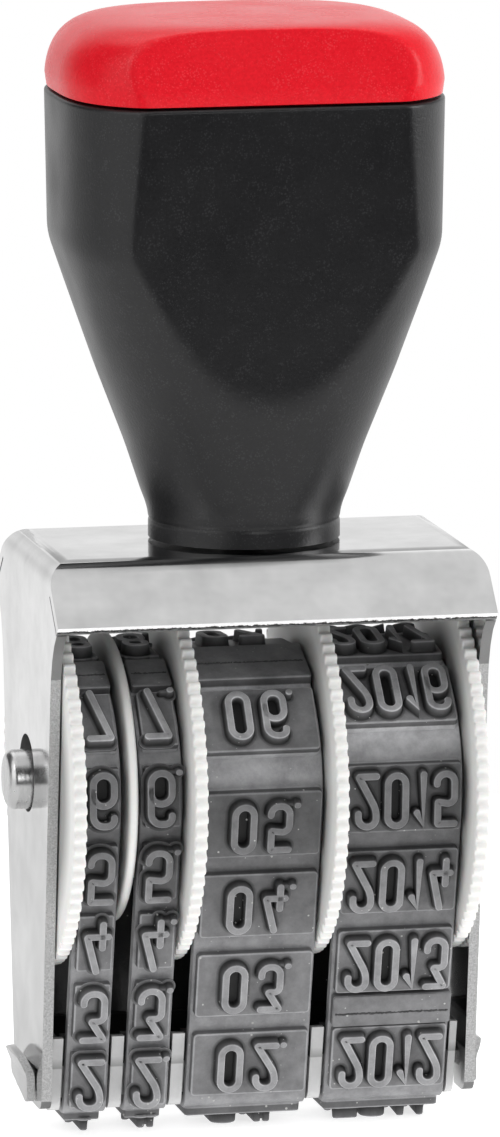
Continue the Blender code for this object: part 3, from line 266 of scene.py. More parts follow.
def stand(name, shape, material, body, nodes=(), sharp=40.0, rise=None):
    """Makes a piece from points and faces, closes its seams and poles, turns its faces
    outwards, shades it smooth except at sharp edges, and lets it ride on a body. A rise for
    each point is kept for the material to read."""
    points, faces = shape
    mesh = bpy.data.meshes.new(name)
    mesh.vertices.add(len(points))
    mesh.vertices.foreach_set("co", np.asarray(points, dtype=np.float32).ravel())
    mesh.loops.add(faces.size)
    mesh.loops.foreach_set("vertex_index", faces.astype(np.int32).ravel())
    mesh.polygons.add(len(faces))
    mesh.polygons.foreach_set("loop_start", np.arange(0, faces.size, 4, dtype=np.int32))
    mesh.update(calc_edges=True)
    if rise is not None:
        mesh.attributes.new("rise", "FLOAT", "POINT").data.foreach_set("value", rise)
    work = bmesh.new()
    work.from_mesh(mesh)
    bmesh.ops.remove_doubles(work, verts=work.verts, dist=MM / 2000)
    bmesh.ops.dissolve_degenerate(work, edges=work.edges, dist=MM / 5000)
    bmesh.ops.recalc_face_normals(work, faces=work.faces)
    work.to_mesh(mesh)
    work.free()
    mesh.shade_smooth()
    mesh.set_sharp_from_angle(angle=math.radians(sharp))
    mesh.materials.append(material)
    piece = bpy.data.objects.new(name, mesh)
    bpy.context.scene.collection.objects.link(piece)
    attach(piece, body)
    if nodes:
        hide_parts(*nodes)
    return piece


def eased(value, limit, reach):
    """The smaller of value and limit, with the corner between them rounded over reach."""
    near = np.maximum(reach - np.abs(value - limit), 0)
    return np.minimum(value, limit) - near ** 2 / (4 * reach)


def grip_size(heights):
    """Half width, half depth and exponent of the grip's outline at each height. The growth
    from the collar to the shoulder follows GROWTH, averaged over 2 mm so that its bends are
    soft."""
    spread = np.linspace(-1, 1, 9) * MM
    around = np.asarray(heights)[:, None] + spread
    rise = (around - COLLAR_TOP) / (SHOULDER - COLLAR_TOP)
    growth = np.interp(rise, *zip(*GROWTH))
    above = np.clip((around - SHOULDER) / (SEAM - SHOULDER), 0, 1)
    half_width = NECK_RADIUS + growth * (SHOULDER_HALF - NECK_RADIUS)
    half_width = (half_width + above * (SEAM_HALF - SHOULDER_HALF)).mean(axis=1)
    growth = growth.mean(axis=1)
    half_depth = half_width * (1 + (DEPTH_SHARE - 1) * growth)
    return half_width, half_depth, 2 + growth


def oval(half_width, half_depth, exponent, heights, turns=GRIP_TURNS):
    """Level rings: x = half_width * |cos|^(2/exponent), y = half_depth * |sin|^(2/exponent),
    each with the sign of its cosine or sine. Every size is a column with a row a ring."""
    angle = np.linspace(0, 2 * np.pi, turns, endpoint=False)[None, :]
    power = 2 / np.reshape(exponent, (-1, 1))
    x = np.reshape(half_width, (-1, 1)) * np.sign(np.cos(angle)) * np.abs(np.cos(angle)) ** power
    y = np.reshape(half_depth, (-1, 1)) * np.sign(np.sin(angle)) * np.abs(np.sin(angle)) ** power
    z = np.reshape(heights, (-1, 1)) + 0 * x
    return np.stack([x, y, z], axis=-1)


def flattened(rings, depth, reach=PANEL_EDGE):
    """Rings whose front and back are pressed flat at a depth, with a soft edge."""
    rings = rings.copy()
    y = rings[..., 1]
    rings[..., 1] = np.sign(y) * eased(np.abs(y), np.reshape(depth, (-1, 1)), reach)
    return rings


def grain(tree, size, depth, roughness_range, seed=0.0):
    """Fine moulded grain: a bump and a roughness from noise whose grains are about size wide
    and depth high. Gives the bump's normal and the roughness."""
    place = add_node(tree, "TexCoord")
    noise = add_node(tree, "TexNoise", {"Scale": 1 / size, "Detail": 3.0, "Roughness": 0.6,
                                        "noise_dimensions": "4D", "W": seed},
                     {"Vector": place.outputs["Object"]})
    bump = add_node(tree, "Bump", {"Strength": 1.0, "Distance": depth},
                    {"Height": noise.outputs[0]})
    broad = add_node(tree, "TexNoise", {"Scale": 1 / (7 * MM), "Detail": 2.0},
                     {"Vector": place.outputs["Object"]})
    rough = add_node(tree, "MapRange", {"From Min": 0.3, "From Max": 0.7,
                                        "To Min": roughness_range[0],
                                        "To Max": roughness_range[1]},
                     {"Value": broad.outputs[0]})
    return place, noise, bump, rough


def sparkle(tree, place, base, code, share):
    """Painted glints: tiny pale dots, 0.08 mm wide, thicker in some places than in others, painted
    over the colour of the base node where single grains would catch the light."""
    cells = add_node(tree, "TexVoronoi", {"Scale": 1 / (0.25 * MM)},
                     {"Vector": place.outputs["Object"]})
    amount = add_node(tree, "TexNoise", {"Scale": 1 / (1.5 * MM), "Detail": 1.0},
                      {"Vector": place.outputs["Object"]})
    reach = add_node(tree, "MapRange", {"From Min": 0.35, "From Max": 0.70, "To Min": 0.12,
                                        "To Max": 0.40}, {"Value": amount.outputs[0]})
    hit = add_node(tree, "Math", {"operation": "LESS_THAN"},
                   {0: cells.outputs["Distance"], 1: reach.outputs[0]})
    hit = add_node(tree, "Math", {"operation": "MULTIPLY", 1: share}, {0: hit.outputs[0]})
    return add_node(tree, "Mix", {"data_type": "RGBA", 7: colour(code)},
                    {0: hit.outputs[0], 6: base.outputs[0]})


# Spark-eroded mould grain, 0.25 mm: it breaks the lamps' reflections into a soft speckle.
black_plastic, tree, output = new_material("spark_grained_black_abs")
place, fine, bump, rough = grain(tree, 0.32 * MM, 0.032 * MM, (0.30, 0.38))
shade = add_node(tree, "ValToRGB", {}, {"Fac": fine.outputs[0]})
shade.color_ramp.elements[0].color = colour("#111112")
shade.color_ramp.elements[1].color = colour("#232325")
# Painted glints: pale grey dots painted into the grain's colour where grains would catch the lamps.
glint = sparkle(tree, place, shade, "#505052", 0.22)
shader = add_node(tree, "BsdfPrincipled", {"IOR": 1.50},
                  {"Base Color": glint.outputs[2], "Roughness": rough.outputs[0],
                   "Normal": bump.outputs[0]})
tree.links.new(shader.outputs[0], output.inputs["Surface"])

outside = np.concatenate([np.linspace(PLATE_TOP + SEAT, COLLAR_TOP, 24),
                          np.linspace(COLLAR_TOP, SEAM - 0.55 * MM, 110)[1:],
                          SEAM - np.array([0.40, 0.32, 0.24, 0.18, 0.15]) * MM])
half_width, half_depth, exponent = grip_size(outside)
groove = 0.09 * MM * np.exp(-((outside - PLATE_TOP - 2.1 * MM) / (0.16 * MM)) ** 2)
lip = 0.25 * MM * np.clip(1 - (SEAM - 0.15 * MM - outside) / (0.3 * MM), 0, 1) ** 2
panel_depth = PANEL_HALF_DEPTH - (SEAM - outside) * PANEL_TILT
shell = flattened(oval(half_width - groove - lip, half_depth - groove - lip, exponent, outside),
                  panel_depth - lip)
inside = np.linspace(SEAM - 0.15 * MM, COLLAR_TOP + GRIP_WALL, 30)
half_width, half_depth, exponent = grip_size(inside)
half_depth = np.minimum(half_depth, PANEL_HALF_DEPTH - (SEAM - inside) * PANEL_TILT)
lining = oval(half_width - GRIP_WALL, half_depth - GRIP_WALL, 2 * exponent - 2, inside)
hole = [(0, SCREW_HOLE_TOP), (SCREW_HOLE, SCREW_HOLE_TOP), (SCREW_HOLE, PLATE_TOP + SEAT)]
hole = oval([r for r, _ in hole], [r for r, _ in hole], [2] * 3, [z for _, z in hole])
boss = [(BOSS_RADIUS, COLLAR_TOP + GRIP_WALL), (BOSS_RADIUS, BOSS_TOP), (0, BOSS_TOP)]
boss = oval([r for r, _ in boss], [r for r, _ in boss], [2] * 3, [z for _, z in boss])
stand("grip", skin(np.concatenate([hole, shell, lining, boss]), closed_along=True),
      black_plastic, "stamp", ("handle_body",))

# The cap: one moulding in red ABS, satin, pressed into the grip's open top. It is a low dome
# with a sloping facet in front and behind that carries on from the grip's panels.
CAP_FOOT = SEAM + 0.15 * MM
CAP_RISE = 7.25 * MM
CAP_WALL = 1.8 * MM
CAP_FACET = math.tan(math.radians(21.8))
PLUG_DEPTH = 4.0 * MM
PLUG_WALL = 1.4 * MM
DOME_WIDTH_POWER = 7.42
DOME_RISE_POWER = 2.29

# Polished and lightly worn mould: satin with a fine grain that shows in the highlights.
red_plastic, tree, output = new_material("satin_red_abs")
place, fine, bump, rough = grain(tree, 0.26 * MM, 0.026 * MM, (0.22, 0.30), 3.0)
shade = add_node(tree, "ValToRGB", {}, {"Fac": fine.outputs[0]})
shade.color_ramp.elements[0].color = colour("#D20A18")
shade.color_ramp.elements[1].color = colour("#FF2232")
# Painted glints: pale pink dots painted into the red where grains would catch the lamps.
glint = sparkle(tree, place, shade, "#FF6068", 0.18)
shader = add_node(tree, "BsdfPrincipled", {"IOR": 1.50, "Specular IOR Level": 0.22},
                  {"Base Color": glint.outputs[2], "Roughness": rough.outputs[0],
                   "Normal": bump.outputs[0]})
tree.links.new(shader.outputs[0], output.inputs["Surface"])

# The dome keeps the share w of its width at the share (1 - w^7.42)^(1/2.29) of its rise.
keep = np.concatenate([np.linspace(1, 0.9, 40), np.linspace(0.9, 0.02, 70)[1:], [0.0]])
rise = (1 - keep ** DOME_WIDTH_POWER) ** (1 / DOME_RISE_POWER)
dome_heights = CAP_FOOT + CAP_RISE * rise
edge = 0.22 * MM * np.clip(1 - (dome_heights - CAP_FOOT) / (0.25 * MM), 0, 1) ** 2
dome = oval(SEAM_HALF * keep - edge, SEAM_HALF * DEPTH_SHARE * keep - edge,
            3 + 0 * keep, dome_heights)
dome = flattened(dome, PANEL_HALF_DEPTH - edge - (dome_heights - SEAM) * CAP_FACET, 0.5 * MM)
plug = np.array([CAP_FOOT, CAP_FOOT - PLUG_DEPTH])
half_width, half_depth, exponent = grip_size(plug)
half_depth = np.minimum(half_depth, PANEL_HALF_DEPTH - (SEAM - plug) * PANEL_TILT)
outer_plug = oval(half_width - GRIP_WALL - SEAT, half_depth - GRIP_WALL - SEAT,
                  2 * exponent - 2, plug)
inner_plug = oval(half_width - GRIP_WALL - SEAT - PLUG_WALL,
                  half_depth - GRIP_WALL - SEAT - PLUG_WALL, 2 * exponent - 2, plug)
ceiling_height = CAP_FOOT + CAP_RISE - CAP_WALL
ceiling_depth = PANEL_HALF_DEPTH - CAP_WALL - (ceiling_height - SEAM) * CAP_FACET
ceiling = oval([0.01 * MM, 14.0 * MM], [0.01 * MM, ceiling_depth], [4, 4], [ceiling_height] * 2)
stand("grip_cap", skin(np.concatenate([ceiling, inner_plug, outer_plug[::-1], dome]),
                       closed_along=True), red_plastic, "stamp", ("handle_cap",))

# The frame: one blank of 1 mm steel sheet, sheared, bent and then bright chromed. Its top has
# two sloping skirts, and its ends bend down into the side plates. A slit parts each skirt's
# end from the plate. The edges are sheared raw, so that they glint unevenly.
SHEET = 1.0 * MM
HALF_FRAME = 21.5 * MM
HALF_INNER = 20.5 * MM
HALF_TOP = 10.1 * MM
SKIRT_EDGE = 15.9 * MM
SKIRT_LOW = 51.9 * MM
BEND_RADIUS = 2.4 * MM
PLATE_FOOT = 3.0 * MM
FOOT_HALF = 6.7 * MM
FOOT_RADIUS = 1.5 * MM
WAIST = (11.4 * MM, 40.4 * MM)
FLARE = ((0.33, 0.11), (0.56, 0.23), (0.75, 0.42), (0.90, 0.69))
SLIT = 0.25 * MM
SLIT_DROP = 2.3 * MM
AXLE_HOLE = (35.1 * MM, 3.8 * MM)
NOTCH = (2.3 * MM, 6.4 * MM)
SHEARED_EDGE = 0.17 * MM
PAST = 2.0 * MM


def rounded_line(points, radii, steps=12):
    """A line through points with each corner replaced by an arc that touches both sides."""
    line = []
    for i, (point, radius) in enumerate(zip(points, radii)):
        if radius == 0:
            line.append(tuple(point))
            continue
        corner, before, after = (np.array(points[(i + k) % len(points)], float) for k in (0, -1, 1))
        back, ahead = before - corner, after - corner
        back, ahead = back / np.hypot(*back), ahead / np.hypot(*ahead)
        half_angle = math.acos(np.clip(back @ ahead, -1, 1)) / 2
        middle = (back + ahead) / np.hypot(*(back + ahead))
        centre = corner + middle * radius / math.sin(half_angle)
        start = corner + back * radius / math.tan(half_angle) - centre
        end = corner + ahead * radius / math.tan(half_angle) - centre
        share = np.linspace(0, 1, steps + 1)[:, None]
        sweep = math.pi - 2 * half_angle
        arms = (start * np.sin((1 - share) * sweep) + end * np.sin(share * sweep)) / math.sin(sweep)
        line += [tuple(p) for p in centre + arms]
    return line


def shifted(line, distance):
    """A line moved to its left by a distance, with mitred corners."""
    points = np.array(line)
    ways = np.diff(points, axis=0)
    ways /= np.hypot(*ways.T)[:, None]
    normals = np.stack([-ways[:, 1], ways[:, 0]], axis=1)
    first = np.concatenate([normals[:1], normals])
    second = np.concatenate([normals, normals[-1:]])
    total = first + second
    reach = 2 * distance / (total ** 2).sum(axis=1) * np.ones(len(points))
    return [tuple(p) for p in points + total * reach[:, None]]


def slab(outline, low, high, axis):
    """An outline carried straight along an axis as a closed body. An outline in Y and Z is
    carried along X, one in X and Z along Y, and one in X and Y along Z."""
    count = len(outline)
    flat = np.array(outline)
    points = np.concatenate([np.insert(flat, axis, end, axis=1) for end in (low, high)])
    sides = [(i, (i + 1) % count, count + (i + 1) % count, count + i) for i in range(count)]
    mesh = bpy.data.meshes.new("slab")
    mesh.from_pydata(points.tolist(), [], sides + [tuple(range(count)),
                                                   tuple(range(count, 2 * count))])
    work = bmesh.new()
    work.from_mesh(mesh)
    bmesh.ops.recalc_face_normals(work, faces=work.faces)
    work.to_mesh(mesh)
    work.free()
    body = bpy.data.objects.new("slab", mesh)
    bpy.context.scene.collection.objects.link(body)
    return body


def combined(target, operation, other):
    """A body cut, joined or intersected with another one, which is used up."""
    step = target.modifiers.new(operation, "BOOLEAN")
    step.operation = operation
    step.solver = "EXACT"
    step.object = other
    bpy.context.view_layer.update()
    mesh = bpy.data.meshes.new_from_object(
        target.evaluated_get(bpy.context.evaluated_depsgraph_get()))
    target.modifiers.clear()
    target.data = mesh
    bpy.data.objects.remove(other, do_unlink=True)
    return target


def circle(radius, centre=(0, 0), steps=64):
    """Points round a circle."""
    angle = np.linspace(0, 2 * np.pi, steps, endpoint=False)
    return list(zip(centre[0] + radius * np.cos(angle), centre[1] + radius * np.sin(angle)))


# Bright chrome on rolled sheet: an almost perfect mirror, with faint rolling lines along the
# frame and a few fine pits, and a duller, streaked finish where the sheet was sheared.
chrome, tree, output = new_material("bright_chrome_on_steel")
place = add_node(tree, "TexCoord")
stretch = add_node(tree, "Mapping", {"Scale": (0.05, 1, 1)}, {"Vector": place.outputs["Object"]})
rolled = add_node(tree, "TexNoise", {"Scale": 1 / (0.5 * MM), "Detail": 3.0},
                  {"Vector": stretch.outputs[0]})
wavy = add_node(tree, "TexNoise", {"Scale": 1 / (9 * MM), "Detail": 1.0},
                {"Vector": place.outputs["Object"]})
height = add_node(tree, "Math", {"operation": "MULTIPLY_ADD", 1: 0.02},
                  {0: rolled.outputs[0], 2: wavy.outputs[0]})
bump = add_node(tree, "Bump", {"Strength": 0.5, "Distance": 0.05 * MM}, {"Height": height.outputs[0]})
rough = add_node(tree, "MapRange", {"To Min": 0.07, "To Max": 0.16}, {"Value": rolled.outputs[0]})
haze = add_node(tree, "TexNoise", {"Scale": 1 / (6 * MM), "Detail": 3.0, "Roughness": 0.6},
                {"Vector": place.outputs["Object"]})
tone = add_node(tree, "ValToRGB", {}, {"Fac": haze.outputs[0]})
tone.color_ramp.elements[0].position = 0.3
tone.color_ramp.elements[0].color = colour("#CECECE")
tone.color_ramp.elements[1].position = 0.7
tone.color_ramp.elements[1].color = colour("#E6E6E6")
shader = add_node(tree, "BsdfPrincipled", {"Metallic": 1.0},
                  {"Base Color": tone.outputs[0], "Roughness": rough.outputs[0],
                   "Normal": bump.outputs[0]})
tree.links.new(shader.outputs[0], output.inputs["Surface"])

slope = np.array([SKIRT_EDGE - HALF_TOP, SKIRT_LOW - PLATE_TOP])
slope /= np.hypot(*slope)
slope_normal = (-slope[1], slope[0])
rim_depth = SKIRT_EDGE * slope_normal[0] + SKIRT_LOW * slope_normal[1]

# Sheared steel: a grey, matt face, streaked across the sheet by the blades.
sheared, tree, output = new_material("sheared_steel_edge")
place = add_node(tree, "TexCoord")
streaks = add_node(tree, "TexNoise", {"Scale": 1 / (0.16 * MM), "Detail": 4.0, "Roughness": 0.7},
                   {"Vector": place.outputs["Object"]})
bump = add_node(tree, "Bump", {"Strength": 1.0, "Distance": 0.06 * MM},
                {"Height": streaks.outputs[0]})
rough = add_node(tree, "MapRange", {"To Min": 0.28, "To Max": 0.50}, {"Value": streaks.outputs[0]})
speckle = add_node(tree, "ValToRGB", {}, {"Fac": streaks.outputs[0]})
speckle.color_ramp.elements[0].position = 0.35
speckle.color_ramp.elements[0].color = colour("#AEAEAE")
speckle.color_ramp.elements[1].position = 0.65
speckle.color_ramp.elements[1].color = colour("#DADADA")
shader = add_node(tree, "BsdfPrincipled", {"Metallic": 0.75},
                  {"Base Color": speckle.outputs[0], "Roughness": rough.outputs[0],
                   "Normal": bump.outputs[0]})
tree.links.new(shader.outputs[0], output.inputs["Surface"])

# The skirts' rims: a white band along the outer edge, a painted highlight that is not metal,
# then a dark ragged line, then grey metal towards the inner side.
painted_highlight_rim, tree, output = new_material("rim_with_painted_highlight")
place = add_node(tree, "TexCoord")
both = add_node(tree, "VectorMath", {"operation": "ABSOLUTE"}, {0: place.outputs["Object"]})
depth = add_node(tree, "VectorMath", {"operation": "DOT_PRODUCT", 1: (0, *slope_normal)},
                 {0: both.outputs[0]})
ragged_rim_noise = add_node(tree, "TexNoise", {"Scale": 1 / (0.45 * MM), "Detail": 5.0, "Roughness": 0.75},
                {"Vector": place.outputs["Object"]})
zone = add_node(tree, "MapRange", {"From Min": rim_depth - SHEET, "From Max": rim_depth},
                {"Value": depth.outputs["Value"]})
zone = add_node(tree, "Math", {"operation": "MULTIPLY_ADD", 1: 0.9}, {0: ragged_rim_noise.outputs[0], 2: zone.outputs[0]})
tone = add_node(tree, "ValToRGB", {}, {"Fac": zone.outputs[0]})
tone.color_ramp.elements[0].position = 0.68
tone.color_ramp.elements[0].color = colour("#9A9A9A")
tone.color_ramp.elements[1].position = 1.0
tone.color_ramp.elements[1].color = colour("#FFFFFF")
tone.color_ramp.elements.new(0.80).color = colour("#1E1E1E")
tone.color_ramp.elements.new(0.93).color = colour("#6A6A6A")
bump = add_node(tree, "Bump", {"Strength": 1.0, "Distance": 0.08 * MM}, {"Height": ragged_rim_noise.outputs[0]})
# The white band is painted highlight: there the rim turns from metal to white paint.
bare = add_node(tree, "MapRange", {"From Min": 0.90, "From Max": 1.0, "To Min": 1.0, "To Max": 0.0},
                {"Value": zone.outputs[0]})
shader = add_node(tree, "BsdfPrincipled", {"Roughness": 0.34},
                  {"Base Color": tone.outputs[0], "Metallic": bare.outputs[0],
                   "Normal": bump.outputs[0]})
tree.links.new(shader.outputs[0], output.inputs["Surface"])

roof_line = rounded_line([(-SKIRT_EDGE, SKIRT_LOW), (-HALF_TOP, PLATE_TOP),
                          (HALF_TOP, PLATE_TOP), (SKIRT_EDGE, SKIRT_LOW)],
                         [0, BEND_RADIUS, BEND_RADIUS, 0])
legs_line = rounded_line([(-HALF_FRAME, PLATE_FOOT), (-HALF_FRAME, PLATE_TOP),
                          (HALF_FRAME, PLATE_TOP), (HALF_FRAME, PLATE_FOOT)],
                         [0, BEND_RADIUS, BEND_RADIUS, 0])
steel = slab(roof_line + shifted(roof_line, -SHEET)[::-1], -HALF_FRAME, HALF_FRAME, 0)
combined(steel, "INTERSECT", slab(legs_line, -SKIRT_EDGE - PAST, SKIRT_EDGE + PAST, 1))
inward = np.array([slope[1], -slope[0]])
slit_foot = np.array([SKIRT_EDGE, SKIRT_LOW]) + inward * (SHEET + SLIT)
slit_head = slit_foot + slope * (PLATE_TOP - SKIRT_LOW - SLIT_DROP) / slope[1]
joined = slit_head - inward * (SLIT + SHEET / 2)
foot = rounded_line([(0, PLATE_FOOT), (FOOT_HALF, PLATE_FOOT), WAIST], [0, FOOT_RADIUS, 0])
flare = [(WAIST[0] + out * (slit_foot[0] - WAIST[0]), WAIST[1] + up * (slit_foot[1] - WAIST[1]))
         for up, out in FLARE]
side = foot[1:] + flare + [tuple(slit_foot), tuple(slit_head), tuple(joined),
                           (HALF_TOP, PLATE_TOP - SHEET / 2)]
plates = slab(legs_line + shifted(legs_line, -SHEET)[::-1], -SKIRT_EDGE, SKIRT_EDGE, 1)
combined(plates, "INTERSECT", slab(side + [(-y, z) for y, z in side][::-1],
                                   -HALF_FRAME - PAST, HALF_FRAME + PAST, 0))
combined(steel, "UNION", plates)
for hole_outline in (circle(AXLE_HOLE[1], (0, AXLE_HOLE[0])),
                     [(-NOTCH[0], 0), (NOTCH[0], 0), (NOTCH[0], NOTCH[1]), (-NOTCH[0], NOTCH[1])]):
    combined(steel, "DIFFERENCE", slab(hole_outline, -HALF_FRAME - PAST, HALF_FRAME + PAST, 0))
combined(steel, "DIFFERENCE", slab(circle(SCREW_HOLE), PLATE_TOP - PAST, PLATE_TOP + PAST, 2))
steel.name = "chromed_frame"
steel.data.name = "chromed_frame"
steel.data.materials.clear()
steel.data.materials.append(chrome)
steel.data.materials.append(sheared)
steel.data.materials.append(painted_highlight_rim)
work = bmesh.new()
work.from_mesh(steel.data)
bmesh.ops.remove_doubles(work, verts=work.verts, dist=MM / 500)
bmesh.ops.dissolve_limit(work, angle_limit=math.radians(0.5), verts=work.verts, edges=work.edges)
bmesh.ops.recalc_face_normals(work, faces=work.faces)
for face in work.faces:
    middle, normal = face.calc_center_median(), face.normal
    on_leg = abs(middle.x) > HALF_INNER and middle.z < PLATE_TOP - BEND_RADIUS
    at_rim = abs(normal.y) * slope[0] - normal.z * -slope[1] > 0.9 and middle.z < PLATE_TOP
    face.material_index = 2 if at_rim else int(on_leg and abs(normal.x) < 0.3)
work.to_mesh(steel.data)
work.free()
steel.data.shade_smooth()
steel.data.set_sharp_from_angle(angle=math.radians(30))
rim = steel.modifiers.new("rounded_edges", "BEVEL")
rim.width = SHEARED_EDGE
rim.segments = 3
rim.limit_method = "ANGLE"
rim.angle_limit = math.radians(40)
rim.harden_normals = True
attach(steel, "stamp")
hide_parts("frame")

# The axle: a bright steel pin through both plates. Its ends are domed and stand out.
AXLE = 34.5 * MM
AXLE_RADIUS = 2.9 * MM
AXLE_HALF = 23.6 * MM


def turned(profile, turns=96, axis_height=AXLE):
    """A profile of (radius, place) pairs turned about the axle's line, which is along X."""
    radius, place = (np.array(column)[:, None] for column in zip(*profile))
    angle = np.linspace(0, 2 * np.pi, turns, endpoint=False)[None, :]
    return np.stack([place + 0 * angle, radius * np.cos(angle),
                     axis_height + radius * np.sin(angle)], axis=-1)


# Ground and plated steel: rings of fine turning marks on its ends, long lines on its side.
bright_steel, tree, output = new_material("turned_plated_steel")
place = add_node(tree, "TexCoord")
along = add_node(tree, "Mapping", {"Scale": (1, 1, 0.2)}, {"Vector": place.outputs["Object"]})
lines = add_node(tree, "TexNoise", {"Scale": 1 / (0.35 * MM), "Detail": 3.0},
                 {"Vector": along.outputs[0]})
bump = add_node(tree, "Bump", {"Strength": 1.0, "Distance": 0.02 * MM}, {"Height": lines.outputs[0]})
rough = add_node(tree, "MapRange", {"To Min": 0.16, "To Max": 0.34}, {"Value": lines.outputs[0]})
shader = add_node(tree, "BsdfPrincipled", {"Base Color": colour("#D6D6D6"), "Metallic": 1.0},
                  {"Roughness": rough.outputs[0], "Normal": bump.outputs[0]})
tree.links.new(shader.outputs[0], output.inputs["Surface"])

bevel = np.linspace(0, np.pi / 2, 9)
end_profile = [(0, AXLE_HALF), (1.2 * MM, AXLE_HALF)]
end_profile += [(2.1 * MM + 0.8 * MM * math.sin(a), AXLE_HALF - 0.8 * MM * (1 - math.cos(a)))
                for a in bevel]
profile = end_profile + [(radius, -x) for radius, x in end_profile[::-1]]
stand("axle_pin", skin(turned(profile), closed_along=True), bright_steel, "stamp",
      ("wheel_axle",))

# The thumb wheels: white acetal, each one moulding of a knurled disc and a cored drum that
# carries its band. The knurl is rows of square teeth with soft corners.
DISC_RADIUS = 18.1 * MM
DISC_WIDTH = 1.2 * MM
DRUM_RADIUS = 11.0 * MM
DRUM_SHOWN = 10.0 * MM
DRUM_WALL = 1.3 * MM
BORE = 3.1 * MM
HUB_RADIUS = 4.6 * MM
TEETH = 84
TOOTH_DEPTH = 0.5 * MM
NARROW = 4.6 * MM
WIDE = 12.4 * MM
WHEELS = (("tens", -20.3 * MM, -19.1 * MM, NARROW), ("units", -8.5 * MM, -13.1 * MM, NARROW),
          ("month", 5.3 * MM, -7.1 * MM, WIDE), ("year", 19.1 * MM, 6.7 * MM, WIDE))

# Acetal: smooth, dense and a little waxy, with a touch of light let in under its surface.
white_plastic, tree, output = new_material("moulded_white_acetal")
place, fine, bump, rough = grain(tree, 0.4 * MM, 0.004 * MM, (0.38, 0.50), 5.0)
shade = add_node(tree, "ValToRGB", {}, {"Fac": fine.outputs[0]})
shade.color_ramp.elements[0].color = colour("#E6E6E4")
shade.color_ramp.elements[1].color = colour("#EFEFED")
# Painted shade: the wheels' flat faces are painted darker towards the axle, down to 0.45 of their tone inside 12.5
# mm, where the drums and bands shade them.
from_axle = add_node(tree, "VectorMath", {"operation": "MULTIPLY_ADD", 1: (0, 1, 1), 2: (0, 0, -AXLE)},
                     {0: place.outputs["Object"]})
from_axle = add_node(tree, "VectorMath", {"operation": "LENGTH"}, {0: from_axle.outputs[0]})
painted_face_shade = add_node(tree, "MapRange", {"From Min": 12.5 * MM, "From Max": 16.0 * MM, "To Min": 0.45,
                                     "To Max": 1.0}, {"Value": from_axle.outputs["Value"]})
facing = add_node(tree, "SeparateXYZ", {}, {0: place.outputs["Normal"]})
facing = add_node(tree, "Math", {"operation": "ABSOLUTE"}, {0: facing.outputs[0]})
facing = add_node(tree, "MapRange", {"From Min": 0.5, "From Max": 0.95}, {"Value": facing.outputs[0]})
painted_face_shade = add_node(tree, "Mix", {"A": 1.0}, {"Factor": facing.outputs[0], "B": painted_face_shade.outputs[0]})
tone_with_painted_shade = add_node(tree, "VectorMath", {"operation": "SCALE"},
                {0: shade.outputs[0], "Scale": painted_face_shade.outputs[0]})
shader = add_node(tree, "BsdfPrincipled", {"IOR": 1.48, "Subsurface Weight": 0.10,
                                           "Subsurface Scale": 0.6 * MM},
                  {"Base Color": tone_with_painted_shade.outputs[0], "Roughness": rough.outputs[0],
                   "Normal": bump.outputs[0]})
tree.links.new(shader.outputs[0], output.inputs["Surface"])

for name, disc_left, drum_left, drum_width in WHEELS:
    # Places along the axle, as if the disc were on the left; the sign turns them round.
    way = 1 if disc_left < drum_left else -1
    face = disc_left if way == 1 else disc_left + DISC_WIDTH
    inner = face + way * DISC_WIDTH
    floor = inner + way * DRUM_WALL
    far = inner + way * drum_width
    soft = 0.18 * MM
    profile = [(BORE, face + way * 0.2 * MM), (DRUM_RADIUS - DRUM_WALL, face + way * 0.2 * MM),
               (DRUM_RADIUS - DRUM_WALL, face), (DISC_RADIUS - 1.4 * MM, face),
               (DISC_RADIUS - soft, face), (DISC_RADIUS - soft * 0.3, face + way * soft * 0.3),
               (DISC_RADIUS, face + way * soft), (DISC_RADIUS, inner - way * soft),
               (DISC_RADIUS - soft * 0.3, inner - way * soft * 0.3),
               (DISC_RADIUS - soft, inner), (DISC_RADIUS - 1.4 * MM, inner),
               (DRUM_SHOWN, inner), (DRUM_SHOWN, far), (DRUM_RADIUS - DRUM_WALL, far),
               (DRUM_RADIUS - DRUM_WALL, floor), (HUB_RADIUS, floor), (HUB_RADIUS, far),
               (BORE, far)]
    turns = TEETH * 10
    radius, across = (np.array(column)[:, None] for column in zip(*profile))
    angle = np.linspace(0, 2 * np.pi, turns, endpoint=False)[None, :]
    # Teeth: the rim drops by TOOTH_DEPTH between them, along a squared-off cosine.
    wave = np.tanh(2.2 * np.cos(TEETH * angle)) / math.tanh(2.2)
    drop = TOOTH_DEPTH * (1 - wave) / 2 * (radius > DISC_RADIUS - 1.0 * MM)
    wheel = np.stack([across + 0 * angle, (radius - drop) * np.cos(angle),
                      AXLE + (radius - drop) * np.sin(angle)], axis=-1)
    stand(name + "_thumb_wheel", skin(wheel, closed_across=True, closed_along=True),
          white_plastic, name, (name + "_wheel",))

# The divider: a thin plain disc of the same plastic, between the two narrow bands.
edge = 0.5 * MM
round_rim = [(14.2 * MM - edge * (1 - math.cos(a)), -13.8 * MM + edge * math.sin(a))
             for a in np.linspace(np.pi / 2, -np.pi / 2, 15)]
profile = [(BORE, -13.3 * MM)] + round_rim + [(BORE, -14.3 * MM)]
stand("divider", skin(turned(profile, 256), closed_across=True, closed_along=True),
      white_plastic, "divider", ("divider_disc",))

